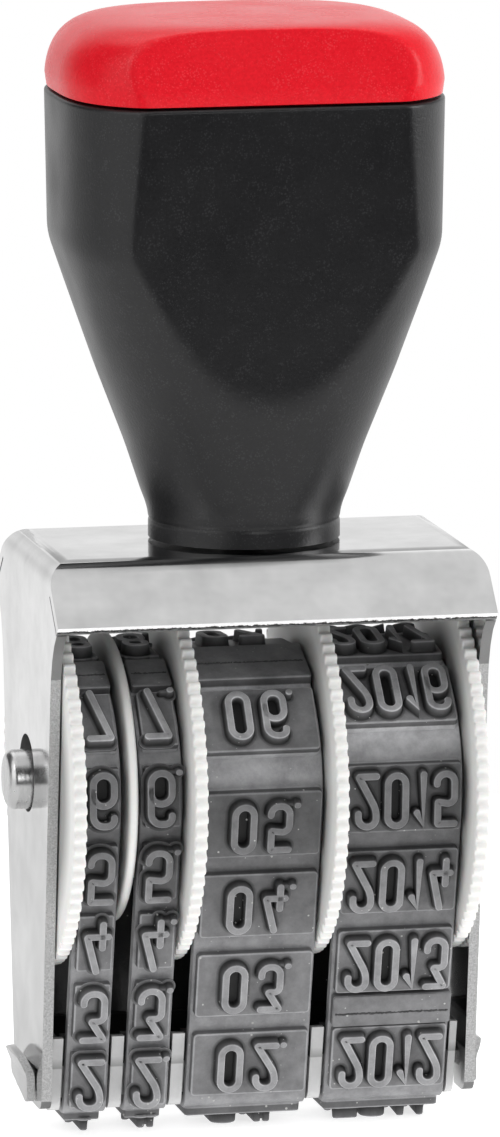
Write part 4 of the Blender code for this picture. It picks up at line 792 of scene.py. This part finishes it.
# The bands: vulcanised grey rubber, moulded flat with a raised pad for each label and the
# figures standing on the pads, then joined into a loop by a splice. They run from the drums
# down to the bridge. The figures are mirror images, with drafted sides and round stroke ends.
FOOT_FLAT = 6.2 * MM
FOOT_CORNER = 1.2 * MM
BASE = 1.2 * MM
RELIEF = 0.9 * MM
TYPE = 1.1 * MM
SPLICE_RELIEF = 1.2 * MM
SPLICE_SPREAD = 1.9 * MM
LINE_BOTTOM = TYPE + RELIEF + BASE / 2
LINE_RADIUS = DRUM_RADIUS + SEAT + BASE / 2
CORNER_RISE = AXLE - LINE_BOTTOM - FOOT_CORNER
LOOP_FLATTENING = 0.085
APART = math.hypot(FOOT_FLAT / 2, CORNER_RISE)
LEAN = math.asin((LINE_RADIUS - FOOT_CORNER) / APART) - math.atan2(FOOT_FLAT / 2, CORNER_RISE)
CORNER_END = FOOT_FLAT / 2 + FOOT_CORNER * (math.pi / 2 - LEAN)
STRAND_END = CORNER_END + math.sqrt(APART ** 2 - (LINE_RADIUS - FOOT_CORNER) ** 2)
BAND_LENGTH = 2 * (STRAND_END + LINE_RADIUS * (math.pi / 2 + LEAN))


def band_line(run, stretch=0.0):
    """Points and outward normals, in Y and Z, of the middle of a band's base, at lengths from
    the middle of its foot up the front: flat under the bridge, round its corner, straight to
    the drum, over it, and the mirror image of that at the rear."""
    run = np.asarray(run, float) % BAND_LENGTH
    rear = run > BAND_LENGTH / 2
    run = np.where(rear, BAND_LENGTH - run, run)[..., None]
    side = np.where(rear, 1, -1)[..., None] * np.array([1, 0]) + np.array([0, 1])
    corner = (run - FOOT_FLAT / 2) / FOOT_CORNER
    drum = (run - STRAND_END) / LINE_RADIUS - LEAN
    drum = drum + stretch * np.sin(2 * drum) * (drum > 0)
    flat = 1 - LOOP_FLATTENING * (drum > 0)
    zero = 0 * run
    lean = zero + LEAN
    normals = [np.concatenate([zero, zero - 1], -1),
               np.concatenate([np.sin(corner), -np.cos(corner)], -1),
               np.concatenate([np.cos(lean), -np.sin(lean)], -1),
               np.concatenate([flat * np.cos(drum), np.sin(drum)], -1)]
    normals[3] = normals[3] / np.hypot(normals[3][..., :1], normals[3][..., 1:])
    centre = np.array([FOOT_FLAT / 2, LINE_BOTTOM + FOOT_CORNER])
    along = np.concatenate([np.sin(lean), np.cos(lean)], -1)
    points = [np.concatenate([run, zero + LINE_BOTTOM], -1), centre + normals[1] * FOOT_CORNER,
              centre + normals[2] * FOOT_CORNER + along * (run - CORNER_END),
              np.array([0, AXLE])
              + np.concatenate([np.cos(drum), flat * np.sin(drum)], -1) * LINE_RADIUS]
    ends = [run <= FOOT_FLAT / 2, run <= CORNER_END, run <= STRAND_END, run > STRAND_END]
    return np.select(ends, points) * side, np.select(ends, normals) * side


def on_band(flat, place, middle, stretch):
    """Puts points given across, along and above a flat patch of band at a place on its line.
    Across grows to the right, and along grows towards the place that prints."""
    point, normal = band_line(place, stretch)
    ahead, _ = band_line(place + BASE, stretch)
    along = np.array([-normal[1], normal[0]])
    along = -along * np.sign(along @ (ahead - point))
    x, y, out = flat[..., 0], flat[..., 1], flat[..., 2]
    return np.stack([middle + x, point[0] + along[0] * y + normal[0] * out,
                     point[1] + along[1] * y + normal[1] * out], axis=-1)


def block(half_width, half_length, corner, levels):
    """A block with rounded corners in plan. Each level is how far its outline is inside the
    given size, and its height. The last level closes to the middle."""
    steps = np.linspace(0, np.pi / 2, 7)
    turn = np.concatenate([steps + k * np.pi / 2 for k in range(4)])
    sign = [(1, 1), (-1, 1), (-1, -1), (1, -1)]
    signs = np.repeat(np.array(sign), 7, axis=0)
    rings = []
    for inset, height in levels:
        round_corner = max(corner - inset, corner * 0.3)
        centres = signs * (np.array([half_width, half_length]) - inset - round_corner)
        ring = centres + round_corner * np.stack([np.cos(turn), np.sin(turn)], -1)
        rings.append(np.column_stack([ring, np.full(len(ring), height)]))
    rings.insert(0, rings[0] * (0, 0, 1))
    rings.append(rings[-1] * (0, 0, 1))
    return np.stack(rings)


# Centre lines of the figures: shares of the width and height, and how much of each corner is
# rounded off, as a share of the figure's width. A line is closed or open.
FIGURES = {
    "0": ((True, ((0, 0, .5), (1, 0, .5), (1, 1, .5), (0, 1, .5))),),
    "1": ((False, ((0, .76, 0), (.78, 1, .05), (.78, 0, 0))),),
    "2": ((False, ((0, .74, 0), (0, 1, .5), (1, 1, .5), (1, .66, .4), (0, 0, .05), (1, 0, 0))),),
    "3": ((False, ((.02, 1, 0), (1, 1, .05), (.40, .60, .05), (1, .60, .45), (1, 0, .5),
                   (0, 0, .45), (0, .22, 0))),),
    "4": ((False, ((.48, 1, 0), (0, .26, .05), (1, .26, 0))),
          (False, ((.74, .50, 0), (.74, 0, 0)))),
    "5": ((False, ((1, 1, 0), (.06, 1, .05), (.06, .56, .05), (1, .62, .45), (1, 0, .5),
                   (0, 0, .5), (0, .20, 0))),),
    "6": ((True, ((0, 0, .48), (1, 0, .48), (1, .60, .48), (0, .60, .48))),
          (False, ((0, .30, 0), (0, 1, .5), (1, 1, .5), (1, .84, 0)))),
    "7": ((False, ((0, 1, 0), (1, 1, .05), (.26, 0, 0))),),
    "8": ((True, ((0, 0, .48), (1, 0, .48), (1, .54, .45), (0, .54, .45))),
          (True, ((.05, .54, .42), (.95, .54, .42), (.95, 1, .42), (.05, 1, .42)))),
    "9": ((True, ((0, .40, .48), (1, .40, .48), (1, 1, .48), (0, 1, .48))),
          (False, ((1, .70, 0), (1, 0, .5), (0, 0, .5), (0, .16, 0)))),
}
ONE_SHARE = 0.6
STROKE = 0.65 * MM
EYE_RISE = 0.022 * MM
# Half of a stroke's section: distance from its centre line and height over the pad. The foot
# runs out into a thin apron, which the material paints dark as painted shade at the stroke's foot.
STROKE_SECTION = np.array([(0.80, -0.30), (0.80, 0.002), (0.62, 0.006), (0.50, 0.02),
                           (0.45, 0.10), (0.40, 0.45), (0.365, 0.90), (0.345, 1.00),
                           (0.310, 1.06), (0.265, 1.09), (0.225, 1.10), (0.0, 1.10)]) * MM


def softened(points, cuts, closed, steps=7):
    """A line with round corners. Each is a conic whose two legs are the cut length, or just
    under half of the shorter side, and whose weight is the cosine of half the turn."""
    points = np.array(points, float)
    count = len(points)
    line = []
    for i, cut in enumerate(cuts):
        if not closed and i in (0, count - 1):
            line.append(points[i][None])
            continue
        before, here, after = points[i - 1], points[i], points[(i + 1) % count]
        back, ahead = before - here, after - here
        lengths = np.hypot(*back), np.hypot(*ahead)
        leg = min(cut, 0.498 * lengths[0] if closed or i > 1 else 0.9 * lengths[0],
                  0.498 * lengths[1] if closed or i < count - 2 else 0.9 * lengths[1])
        back, ahead = back / lengths[0], ahead / lengths[1]
        weight = math.cos((math.pi - math.acos(np.clip(back @ ahead, -1, 1))) / 2)
        t = np.linspace(0, 1, steps)[:, None]
        parts = (1 - t) ** 2, 2 * weight * t * (1 - t), t ** 2
        line.append((parts[0] * (here + back * leg) + parts[1] * here
                     + parts[2] * (here + ahead * leg)) / sum(parts))
    return np.concatenate(line)


def stroke(line, closed, section=STROKE_SECTION):
    """A raised stroke: the section carried along both sides of a line, and turned half round
    at each open end."""
    keep = np.hypot(*np.diff(line, axis=0, prepend=line[-1:] if closed else line[:1] - 1).T) > MM / 200
    line = line[keep]
    ahead = np.roll(line, -1, axis=0) - line
    back = line - np.roll(line, 1, axis=0)
    if not closed:
        ahead[-1], back[0] = back[-1], ahead[0]
    ahead /= np.hypot(*ahead.T)[:, None]
    back /= np.hypot(*back.T)[:, None]
    way = ahead + back
    way /= np.hypot(*way.T)[:, None]
    normal = np.stack([-way[:, 1], way[:, 0]], -1)
    distance, height = section.T
    left = np.concatenate([line[:, None] + normal[:, None] * distance[None, :, None],
                           np.broadcast_to(height[None, :, None], (len(line), len(height), 1))], -1)
    right = left.copy()
    right[..., :2] = line[:, None] - normal[:, None] * distance[None, :, None]
    floor = section[0, 1]
    both = np.concatenate([left, right[:, -2::-1]], axis=1)
    if closed:
        return [skin(both, closed_across=True, closed_along=True)]
    caps = []
    for point, along in ((line[0], -way[0]), (line[-1], way[-1])):
        angle = np.linspace(-np.pi / 2, np.pi / 2, 11)
        side = np.array([-along[1], along[0]])
        arms = np.cos(angle)[:, None] * along + np.sin(angle)[:, None] * side
        cap = np.empty((len(angle), len(section), 3))
        cap[..., :2] = point + arms[:, None] * distance[None, :, None]
        cap[..., 2] = height
        middle = np.array([*point, floor])
        caps.append(skin(np.concatenate([np.broadcast_to(middle, (len(angle), 1, 3)), cap], 1)))
    return [skin(both, closed_along=True)] + caps


def eye(line):
    """The floor of a closed figure's eye, which the material paints dark as painted shade: a disc out
    to the centre line, a hair over the pad, its rows running from the middle below to the middle above."""
    middle = (line.min(axis=0) + line.max(axis=0)) / 2
    rows = [np.column_stack([middle + (line - middle) * share, np.full(len(line), height)])
            for share, height in ((0, STROKE_SECTION[0, 1]), (1, STROKE_SECTION[0, 1]),
                                  (1, EYE_RISE), (0, EYE_RISE))]
    return skin(np.stack(rows), closed_along=True)


def label_shape(label, size, dotted):
    """All the strokes of one label, flat, centred across and along. Its size is the figures'
    width, height and spacing, and a dot is a small pillar tied to the last figure."""
    width, height, spacing = size
    widths = [width * (ONE_SHARE if figure == "1" else 1) for figure in label]
    total = sum(widths) + spacing * (len(label) - 1) + (0.7 * MM if dotted else 0)
    left = -total / 2
    shapes = []
    for figure, across in zip(label, widths):
        span = np.array([across - STROKE, height - STROKE])
        for closed, marks in FIGURES[figure]:
            points = [((x - 0.5) * span[0], (y - 0.5) * span[1]) for x, y, _ in marks]
            line = softened(points, [cut * span[0] for _, _, cut in marks], closed)
            line = line + np.array([left + across / 2, 0])
            shapes += stroke(line, closed)
            if closed:
                shapes.append(eye(line))
        left += across + spacing
    if dotted:
        spot = np.array([total / 2 - 0.3 * MM, (0.6 * MM - height) / 2])
        shapes += stroke(np.array([spot - (0.04 * MM, 0), spot + (0.04 * MM, 0)]), False,
                         STROKE_SECTION * (0.85, 1))
        tie = np.array([spot - (0.9 * MM, 0), spot])
        shapes += stroke(tie, False, STROKE_SECTION * (0.45, 0.72))
    return shapes


BANDS = (("tens", 0, list("1234567890123"), 15, 1.48, 6, 3.2 * MM, (2.7, 5.60, 0), False, 0.0),
         ("units", 1, list("1234567890123"), 15, 1.48, 6, 3.2 * MM, (2.7, 5.60, 0), True, 0.0),
         ("month", 2, ["%02d" % month for month in range(1, 13)], 13, 1.81, 5, 5.2 * MM,
          (2.5, 5.20, 1.0), True, 0.12),
         ("year", 3, [str(year) for year in range(2011, 2023)], 13, 1.81, 1, SPLICE_SPREAD,
          (2.4, 5.60, 0.5), False, 0.12))

# Grey rubber: matt, with cloudy patches of talc, fine pits and pale specks of dust.
rubber, tree, output = new_material("vulcanised_grey_rubber")
place = add_node(tree, "TexCoord")
cloudy = add_node(tree, "TexNoise", {"Scale": 1 / (2.2 * MM), "Detail": 6.0, "Roughness": 0.7},
                  {"Vector": place.outputs["Object"]})
shade = add_node(tree, "ValToRGB", {}, {"Fac": cloudy.outputs[0]})
shade.color_ramp.elements[0].position = 0.34
shade.color_ramp.elements[0].color = colour("#909092")
shade.color_ramp.elements[1].position = 0.66
shade.color_ramp.elements[1].color = colour("#B2B2B4")
dust = add_node(tree, "TexVoronoi", {"Scale": 1 / (0.8 * MM)}, {"Vector": place.outputs["Object"]})
sparse = add_node(tree, "TexNoise", {"Scale": 1 / (2.5 * MM), "Detail": 0.0},
                  {"Vector": place.outputs["Object"]})
reach = add_node(tree, "MapRange", {"From Min": 0.45, "From Max": 0.75, "To Min": 0.03,
                                    "To Max": 0.15}, {"Value": sparse.outputs[0]})
speck = add_node(tree, "Math", {"operation": "LESS_THAN"},
                 {0: dust.outputs["Distance"], 1: reach.outputs[0]})
rise = add_node(tree, "Attribute", {"attribute_name": "rise"})
level = add_node(tree, "MapRange", {"From Min": BASE / 2, "From Max": BASE / 2 + RELIEF + TYPE},
                 {"Value": rise.outputs["Fac"]})
# Painted light by rise over the band: the pads' and figures' sides are darker, as painted shade, darkest on the
# aprons at the figures' feet and on their eyes' floors; the rounded top edges of the pads and figures are lighter,
# as painted highlights.
painted_light_by_rise = add_node(tree, "ValToRGB", {}, {"Fac": level.outputs[0]})
painted_light_by_rise.color_ramp.elements[0].color = colour("#FFFFFF")
painted_light_by_rise.color_ramp.elements[1].color = colour("#CCCCCC")
for at, code in ((0.03, "#FFFFFF"), (0.10, "#8C8C8C"), (0.36, "#909090"), (0.415, "#E6E6E6"),
                 (0.442, "#E0E0E0"), (0.4495, "#B4B4B4"), (0.4535, "#787878"), (0.460, "#404040"), (0.60, "#5C5C5C"),
                 (0.88, "#8C8C8C"), (0.945, "#A8A8A8"), (0.955, "#F0F0F0"), (0.992, "#F0F0F0")):
    painted_light_by_rise.color_ramp.elements.new(at).color = colour(code)
shaded = add_node(tree, "Mix", {"data_type": "RGBA", "blend_type": "MULTIPLY", 0: 1.0},
                  {6: shade.outputs[0], 7: painted_light_by_rise.outputs[0]})
high = add_node(tree, "SeparateXYZ", {}, {0: place.outputs["Object"]})
# Painted light by height: the band is painted 1.2 times as bright below 18 mm, 0.7 times above 30 mm, and up to 2.3
# times over the top of the loop.
painted_light_by_height = add_node(tree, "MapRange", {"From Min": 18 * MM, "From Max": 30 * MM, "To Min": 1.2,
                                     "To Max": 0.70}, {"Value": high.outputs[2]})
painted_light_on_loop_top = add_node(tree, "MapRange", {"From Min": 37.5 * MM, "From Max": 41.5 * MM, "To Min": 1.0,
                                   "To Max": 2.3}, {"Value": high.outputs[2]})
painted_light_by_height = add_node(tree, "Math", {"operation": "MULTIPLY"}, {0: painted_light_by_height.outputs[0], 1: painted_light_on_loop_top.outputs[0]})
base_share = add_node(tree, "MapRange", {"From Min": 0.02, "From Max": 0.08, "To Min": 1.0,
                                         "To Max": 0.0}, {"Value": level.outputs[0]})
# Painted light: the bare strip between the pads is painted darker low on the strand and lighter near the top of the
# drum.
painted_light_on_gap_strip = add_node(tree, "MapRange", {"From Min": 31 * MM, "From Max": 36 * MM, "To Min": 0.62,
                                       "To Max": 1.25}, {"Value": high.outputs[2]})
painted_light_on_gap_strip = add_node(tree, "Mix", {"A": 1.0},
                    {"Factor": base_share.outputs[0], "B": painted_light_on_gap_strip.outputs[0]})
# Painted shade: the band's inner face is painted down to 0.15 of its tone.
inner = add_node(tree, "MapRange", {"From Min": -BASE / 2, "From Max": -BASE / 4, "To Min": 0.15,
                                    "To Max": 1.0}, {"Value": rise.outputs["Fac"]})
painted_light_by_height = add_node(tree, "Math", {"operation": "MULTIPLY"},
                  {0: painted_light_by_height.outputs[0], 1: painted_light_on_gap_strip.outputs[0]})
painted_light_by_height = add_node(tree, "Math", {"operation": "MULTIPLY"}, {0: painted_light_by_height.outputs[0], 1: inner.outputs[0]})
bright = add_node(tree, "VectorMath", {"operation": "SCALE"},
                  {0: shaded.outputs[2], "Scale": painted_light_by_height.outputs[0]})
dusty = add_node(tree, "Mix", {"data_type": "RGBA", 7: colour("#B4B4B2")},
                 {0: speck.outputs[0], 6: bright.outputs[0]})
fine = add_node(tree, "TexNoise", {"Scale": 1 / (0.25 * MM), "Detail": 4.0},
                {"Vector": place.outputs["Object"]})
leather = add_node(tree, "TexNoise", {"Scale": 1 / (0.6 * MM), "Detail": 4.0, "Roughness": 0.6},
                   {"Vector": place.outputs["Object"]})
creased = add_node(tree, "Math", {"operation": "MULTIPLY"},
                   {0: leather.outputs[0], 1: base_share.outputs[0]})
relief = add_node(tree, "Math", {"operation": "MULTIPLY_ADD", 1: 4.0},
                  {0: creased.outputs[0], 2: fine.outputs[0]})
bump = add_node(tree, "Bump", {"Strength": 1.0, "Distance": 0.014 * MM}, {"Height": relief.outputs[0]})
rough = add_node(tree, "MapRange", {"To Min": 0.42, "To Max": 0.62}, {"Value": cloudy.outputs[0]})
rough = add_node(tree, "Mix", {"B": 0.30}, {"Factor": base_share.outputs[0], "A": rough.outputs[0]})
shader = add_node(tree, "BsdfPrincipled", {"IOR": 1.52},
                  {"Base Color": dusty.outputs[2], "Roughness": rough.outputs[0],
                   "Normal": bump.outputs[0]})
tree.links.new(shader.outputs[0], output.inputs["Surface"])

for name, wheel, labels, slots, gap, splice_after, spread, size, dotted, stretch in BANDS:
    _, _, drum_left, drum_width = WHEELS[wheel]
    middle = drum_left + drum_width / 2
    half_band = drum_width / 2 - 0.2 * MM
    pitch = BAND_LENGTH / slots
    places = [pitch * i + (spread if i > splice_after else 0) for i in range(len(labels))]

    # The base: a flat section with soft corners, carried round the band's line.
    run = np.linspace(0, BAND_LENGTH, 480, endpoint=False)
    points, normals = band_line(run, stretch)
    turn = np.concatenate([np.linspace(k * np.pi / 2, (k + 1) * np.pi / 2, 5) for k in range(4)])
    soft = 0.15 * MM
    centres = np.repeat([(1, 1), (-1, 1), (-1, -1), (1, -1)], 5, axis=0)
    section_x = centres[:, 0] * (half_band - soft) + soft * np.cos(turn)
    section_out = centres[:, 1] * (BASE / 2 - soft) + soft * np.sin(turn)
    base = np.empty((len(run), len(turn), 3))
    base[..., 0] = middle + section_x
    base[..., 1:] = points[:, None] + normals[:, None] * section_out[None, :, None]
    shapes = [skin(base, closed_across=True, closed_along=True)]
    rises = [np.tile(section_out, len(run))]

    pad_half = (pitch - gap * MM) / 2
    top = BASE / 2 + RELIEF
    pad = block(half_band - (0.3 if wheel > 1 else 0.35) * MM, pad_half,
                (0.45 if wheel > 1 else 0.25) * MM,
                [(-0.10 * MM, 0.1 * MM), (-0.04 * MM, 0.7 * MM), (0.01 * MM, top - 0.13 * MM),
                 (0.05 * MM, top - 0.05 * MM), (0.13 * MM, top - 0.015 * MM), (0.21 * MM, top)])
    for label, where in zip(labels, places):
        points, faces = skin(pad, closed_along=True)
        shapes.append((on_band(points, where, middle, stretch), faces))
        rises.append(points[:, 2])
        for points, faces in label_shape(label, tuple(np.array(size) * MM), dotted):
            points = points + np.array([0, 0, top])
            shapes.append((on_band(points, where, middle, stretch), faces))
            rises.append(points[:, 2])

    # The splice: a plain bar over the joint, with a ragged line of flash along its middle.
    where = (places[splice_after] + places[splice_after + 1]) / 2
    top = BASE / 2 + SPLICE_RELIEF
    half_length = min((gap * MM + spread) / 2 - 0.25 * MM, 3.0 * MM)
    bar = block(half_band - 0.15 * MM, half_length, 0.25 * MM,
                [(-0.05 * MM, 0.1 * MM), (0, top - 0.1 * MM), (0.03 * MM, top - 0.03 * MM),
                 (0.10 * MM, top)])
    points, faces = skin(bar, closed_along=True)
    shapes.append((on_band(points, where, middle, stretch), faces))
    rises.append(np.minimum(points[:, 2], BASE / 2 + RELIEF))
    ragged = np.random.default_rng(7 + wheel)
    steps = int(half_band / (0.07 * MM))
    flash = np.zeros((steps, 5, 3))
    flash[..., 0] = np.linspace(-half_band + 0.3 * MM, half_band - 0.3 * MM, steps)[:, None]
    flash[..., 1] = 0.25 * MM + np.array([-0.16, -0.09, 0, 0.09, 0.16]) * MM
    flash[..., 1] += 0.03 * MM * ragged.standard_normal(steps)[:, None]
    flash[..., 2] = top + np.array([-0.1, 0.03, 0.09, 0.03, -0.1]) * MM
    flash[:, 1:4, 2] += 0.03 * MM * ragged.standard_normal(steps)[:, None]
    flash[[0, -1], :, 2] = top - 0.1 * MM
    points, faces = skin(flash, closed_along=True)
    shapes.append((on_band(points, where, middle, stretch), faces))
    rises.append(points[:, 2])
    stand(name + "_rubber_band", join(shapes), rubber, "stamp", (name + "_band",), 35.0,
          np.concatenate(rises))

# The bridge: a block of white plastic that keeps the bands' figures flat while they print.
# Ribs stand between the bands, and a slot along it takes its bar.
BRIDGE_TOP = 10.0 * MM
BRIDGE_LEFT, BRIDGE_RIGHT = -20.2 * MM, 19.9 * MM
BRIDGE_WALL = 1.1 * MM
BRIDGE_END = 0.6 * MM
BRIDGE_HOLLOW = 3.0 * MM
RIB_RISE = 0.3 * MM
BAR_HALF = 2.0 * MM
BAR_LOW = 4.9 * MM
BAR_TOP = 6.1 * MM


def bridge_ring(out, hollow=0.0):
    """The bridge's end view, a distance outside the bands' line, cut level at its top. Inside
    its walls the top is hollow to a depth."""
    rise = (BRIDGE_TOP - LINE_BOTTOM) / math.cos(LEAN)
    run = np.concatenate([np.linspace(0, FOOT_FLAT / 2, 3)[:-1],
                          np.linspace(FOOT_FLAT / 2, CORNER_END, 10),
                          np.linspace(CORNER_END, CORNER_END + rise, 5)[1:]])
    points, normals = band_line(run)
    front = points + normals * out
    share = (BRIDGE_TOP - front[-2, 1]) / (front[-1, 1] - front[-2, 1])
    front[-1] = front[-2] + share * (front[-1] - front[-2])
    rear = front[::-1] * (-1, 1)
    wall = front[-1, 0] + BRIDGE_WALL
    lid = np.array([(wall, 0), (wall, 1), (wall / 2, 1), (0, 1), (-wall / 2, 1), (-wall, 1),
                    (-wall, 0)]) * (1, -hollow) + (0, BRIDGE_TOP)
    return np.concatenate([front, lid, rear[:-1]])


core, rib = bridge_ring(-BASE / 2 - SEAT, BRIDGE_HOLLOW), bridge_ring(RIB_RISE, BRIDGE_HOLLOW)
solid = bridge_ring(RIB_RISE)
angle = np.arctan2(solid[:, 1] - 5.5 * MM, solid[:, 0])
slot = np.stack([np.cos(angle), np.sin(angle)], -1)
slot *= np.min(np.abs(np.array([BAR_HALF + SEAT, 0.9 * MM]) / np.where(slot == 0, 1e-9, slot)),
               axis=1)[:, None]
slot += (0, 5.5 * MM)
BRIDGE_HALF = rib[:, 0].max()
sides = sorted([edge for _, _, left, width in WHEELS
                for edge in (left + 0.1 * MM - 0.2 * MM, left + width + 0.1 * MM)])
stations = [(BRIDGE_LEFT, slot), (BRIDGE_LEFT, solid), (BRIDGE_LEFT + BRIDGE_END, solid),
            (BRIDGE_LEFT + BRIDGE_END, rib)]
ring = rib
for edge in sides:
    if BRIDGE_LEFT < edge < BRIDGE_RIGHT:
        other = core if ring is rib else rib
        stations += [(edge, ring), (edge, other)]
        ring = other
stations += [(BRIDGE_RIGHT - BRIDGE_END, ring), (BRIDGE_RIGHT - BRIDGE_END, solid),
             (BRIDGE_RIGHT, solid), (BRIDGE_RIGHT, slot)]
bridge_grid = np.stack([np.column_stack([np.full(len(ring), x), ring]) for x, ring in stations])
bridge_plastic, tree, output = new_material("moulded_white_polystyrene")
place, fine, bump, rough = grain(tree, 0.4 * MM, 0.004 * MM, (0.40, 0.55), 9.0)
shade = add_node(tree, "ValToRGB", {}, {"Fac": fine.outputs[0]})
shade.color_ramp.elements[0].color = colour("#C6C6C6")
shade.color_ramp.elements[1].color = colour("#D2D2D2")
height = add_node(tree, "SeparateXYZ", {}, {0: place.outputs["Object"]})
# Painted shade: inside the walls, from just under the hollow's floor upwards, the colour is scaled down to 0.06,
# nearly black.
painted_hollow_shade = add_node(tree, "Math", {"operation": "ABSOLUTE"}, {0: height.outputs[1]})
painted_hollow_shade = add_node(tree, "MapRange", {"From Min": BRIDGE_HALF - BRIDGE_WALL,
                                   "From Max": BRIDGE_HALF - BRIDGE_WALL / 2, "To Min": 0.06,
                                   "To Max": 1.0}, {"Value": painted_hollow_shade.outputs[0]})
hollow = add_node(tree, "MapRange", {"From Min": BRIDGE_TOP - BRIDGE_HOLLOW - 0.2 * MM,
                                     "From Max": BRIDGE_TOP - BRIDGE_HOLLOW - 0.1 * MM},
                  {"Value": height.outputs[2]})
painted_hollow_shade = add_node(tree, "Mix", {"A": 1.0}, {"Factor": hollow.outputs[0], "B": painted_hollow_shade.outputs[0]})
tone_with_painted_shade = add_node(tree, "VectorMath", {"operation": "SCALE"},
                {0: shade.outputs[0], "Scale": painted_hollow_shade.outputs[0]})
shader = add_node(tree, "BsdfPrincipled", {"IOR": 1.55},
                  {"Base Color": tone_with_painted_shade.outputs[0], "Roughness": rough.outputs[0],
                   "Normal": bump.outputs[0]})
tree.links.new(shader.outputs[0], output.inputs["Surface"])
stand("bridge_block", skin(bridge_grid, closed_across=True, closed_along=True), bridge_plastic,
      "stamp", ("bridge",))

# The bridge's bar: flat plated steel, blanked with a tab at each end. The tabs stand outside
# the side plates and are splayed at the top, so that the bar snaps in and stays.
TAB_FACE = 21.6 * MM
TAB_SHEET = 0.8 * MM
TAB_LINE = ((TAB_FACE, 3.0 * MM), (TAB_FACE, 6.1 * MM), (22.35 * MM, 7.8 * MM))
TAB_OUTLINE = ((-4.0 * MM, 7.8 * MM), (-4.0 * MM, 3.1 * MM), (4.0 * MM, 4.8 * MM),
               (4.0 * MM, 7.8 * MM))
tab_line = rounded_line(TAB_LINE, [0, 2.5 * MM, 0])
tab_section = tab_line + shifted(tab_line, -TAB_SHEET)[::-1]
tab_outline = rounded_line(TAB_OUTLINE, [1.9 * MM, 0.8 * MM, 0.8 * MM, 1.8 * MM])
bar_piece = slab([(-2.0 * MM, BAR_LOW), (2.0 * MM, BAR_LOW), (2.0 * MM, BAR_TOP),
                  (-2.0 * MM, BAR_TOP)], -TAB_FACE - TAB_SHEET / 2, TAB_FACE + TAB_SHEET / 2, 0)
for side in (-1, 1):
    tab = slab([(side * x, z) for x, z in tab_section], -4.5 * MM, 4.5 * MM, 1)
    combined(tab, "INTERSECT", slab(tab_outline, *sorted((side * 21 * MM, side * 24 * MM)), 0))
    combined(bar_piece, "UNION", tab)
bar_piece.name = bar_piece.data.name = "bridge_bar_and_tabs"
bar_piece.data.materials.clear()
bar_piece.data.materials.append(chrome)
bar_piece.data.materials.append(sheared)
work = bmesh.new()
work.from_mesh(bar_piece.data)
bmesh.ops.dissolve_limit(work, angle_limit=math.radians(0.5), verts=work.verts, edges=work.edges)
bmesh.ops.recalc_face_normals(work, faces=work.faces)
for face in work.faces:
    face.material_index = int(abs(face.normal.x) < 0.3)
work.to_mesh(bar_piece.data)
work.free()
bar_piece.data.shade_smooth()
bar_piece.data.set_sharp_from_angle(angle=math.radians(30))
rim = bar_piece.modifiers.new("rounded_edges", "BEVEL")
rim.width = 0.10 * MM
rim.segments = 2
rim.limit_method = "ANGLE"
rim.angle_limit = math.radians(40)
rim.harden_normals = True
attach(bar_piece, "stamp")
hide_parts("bridge_bar")

# The grip's screw and its washer: plain plated steel, as the CAD has them.
for node in ("handle_screw", "handle_washer"):
    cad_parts[node].data.materials.clear()
    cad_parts[node].data.materials.append(bright_steel)
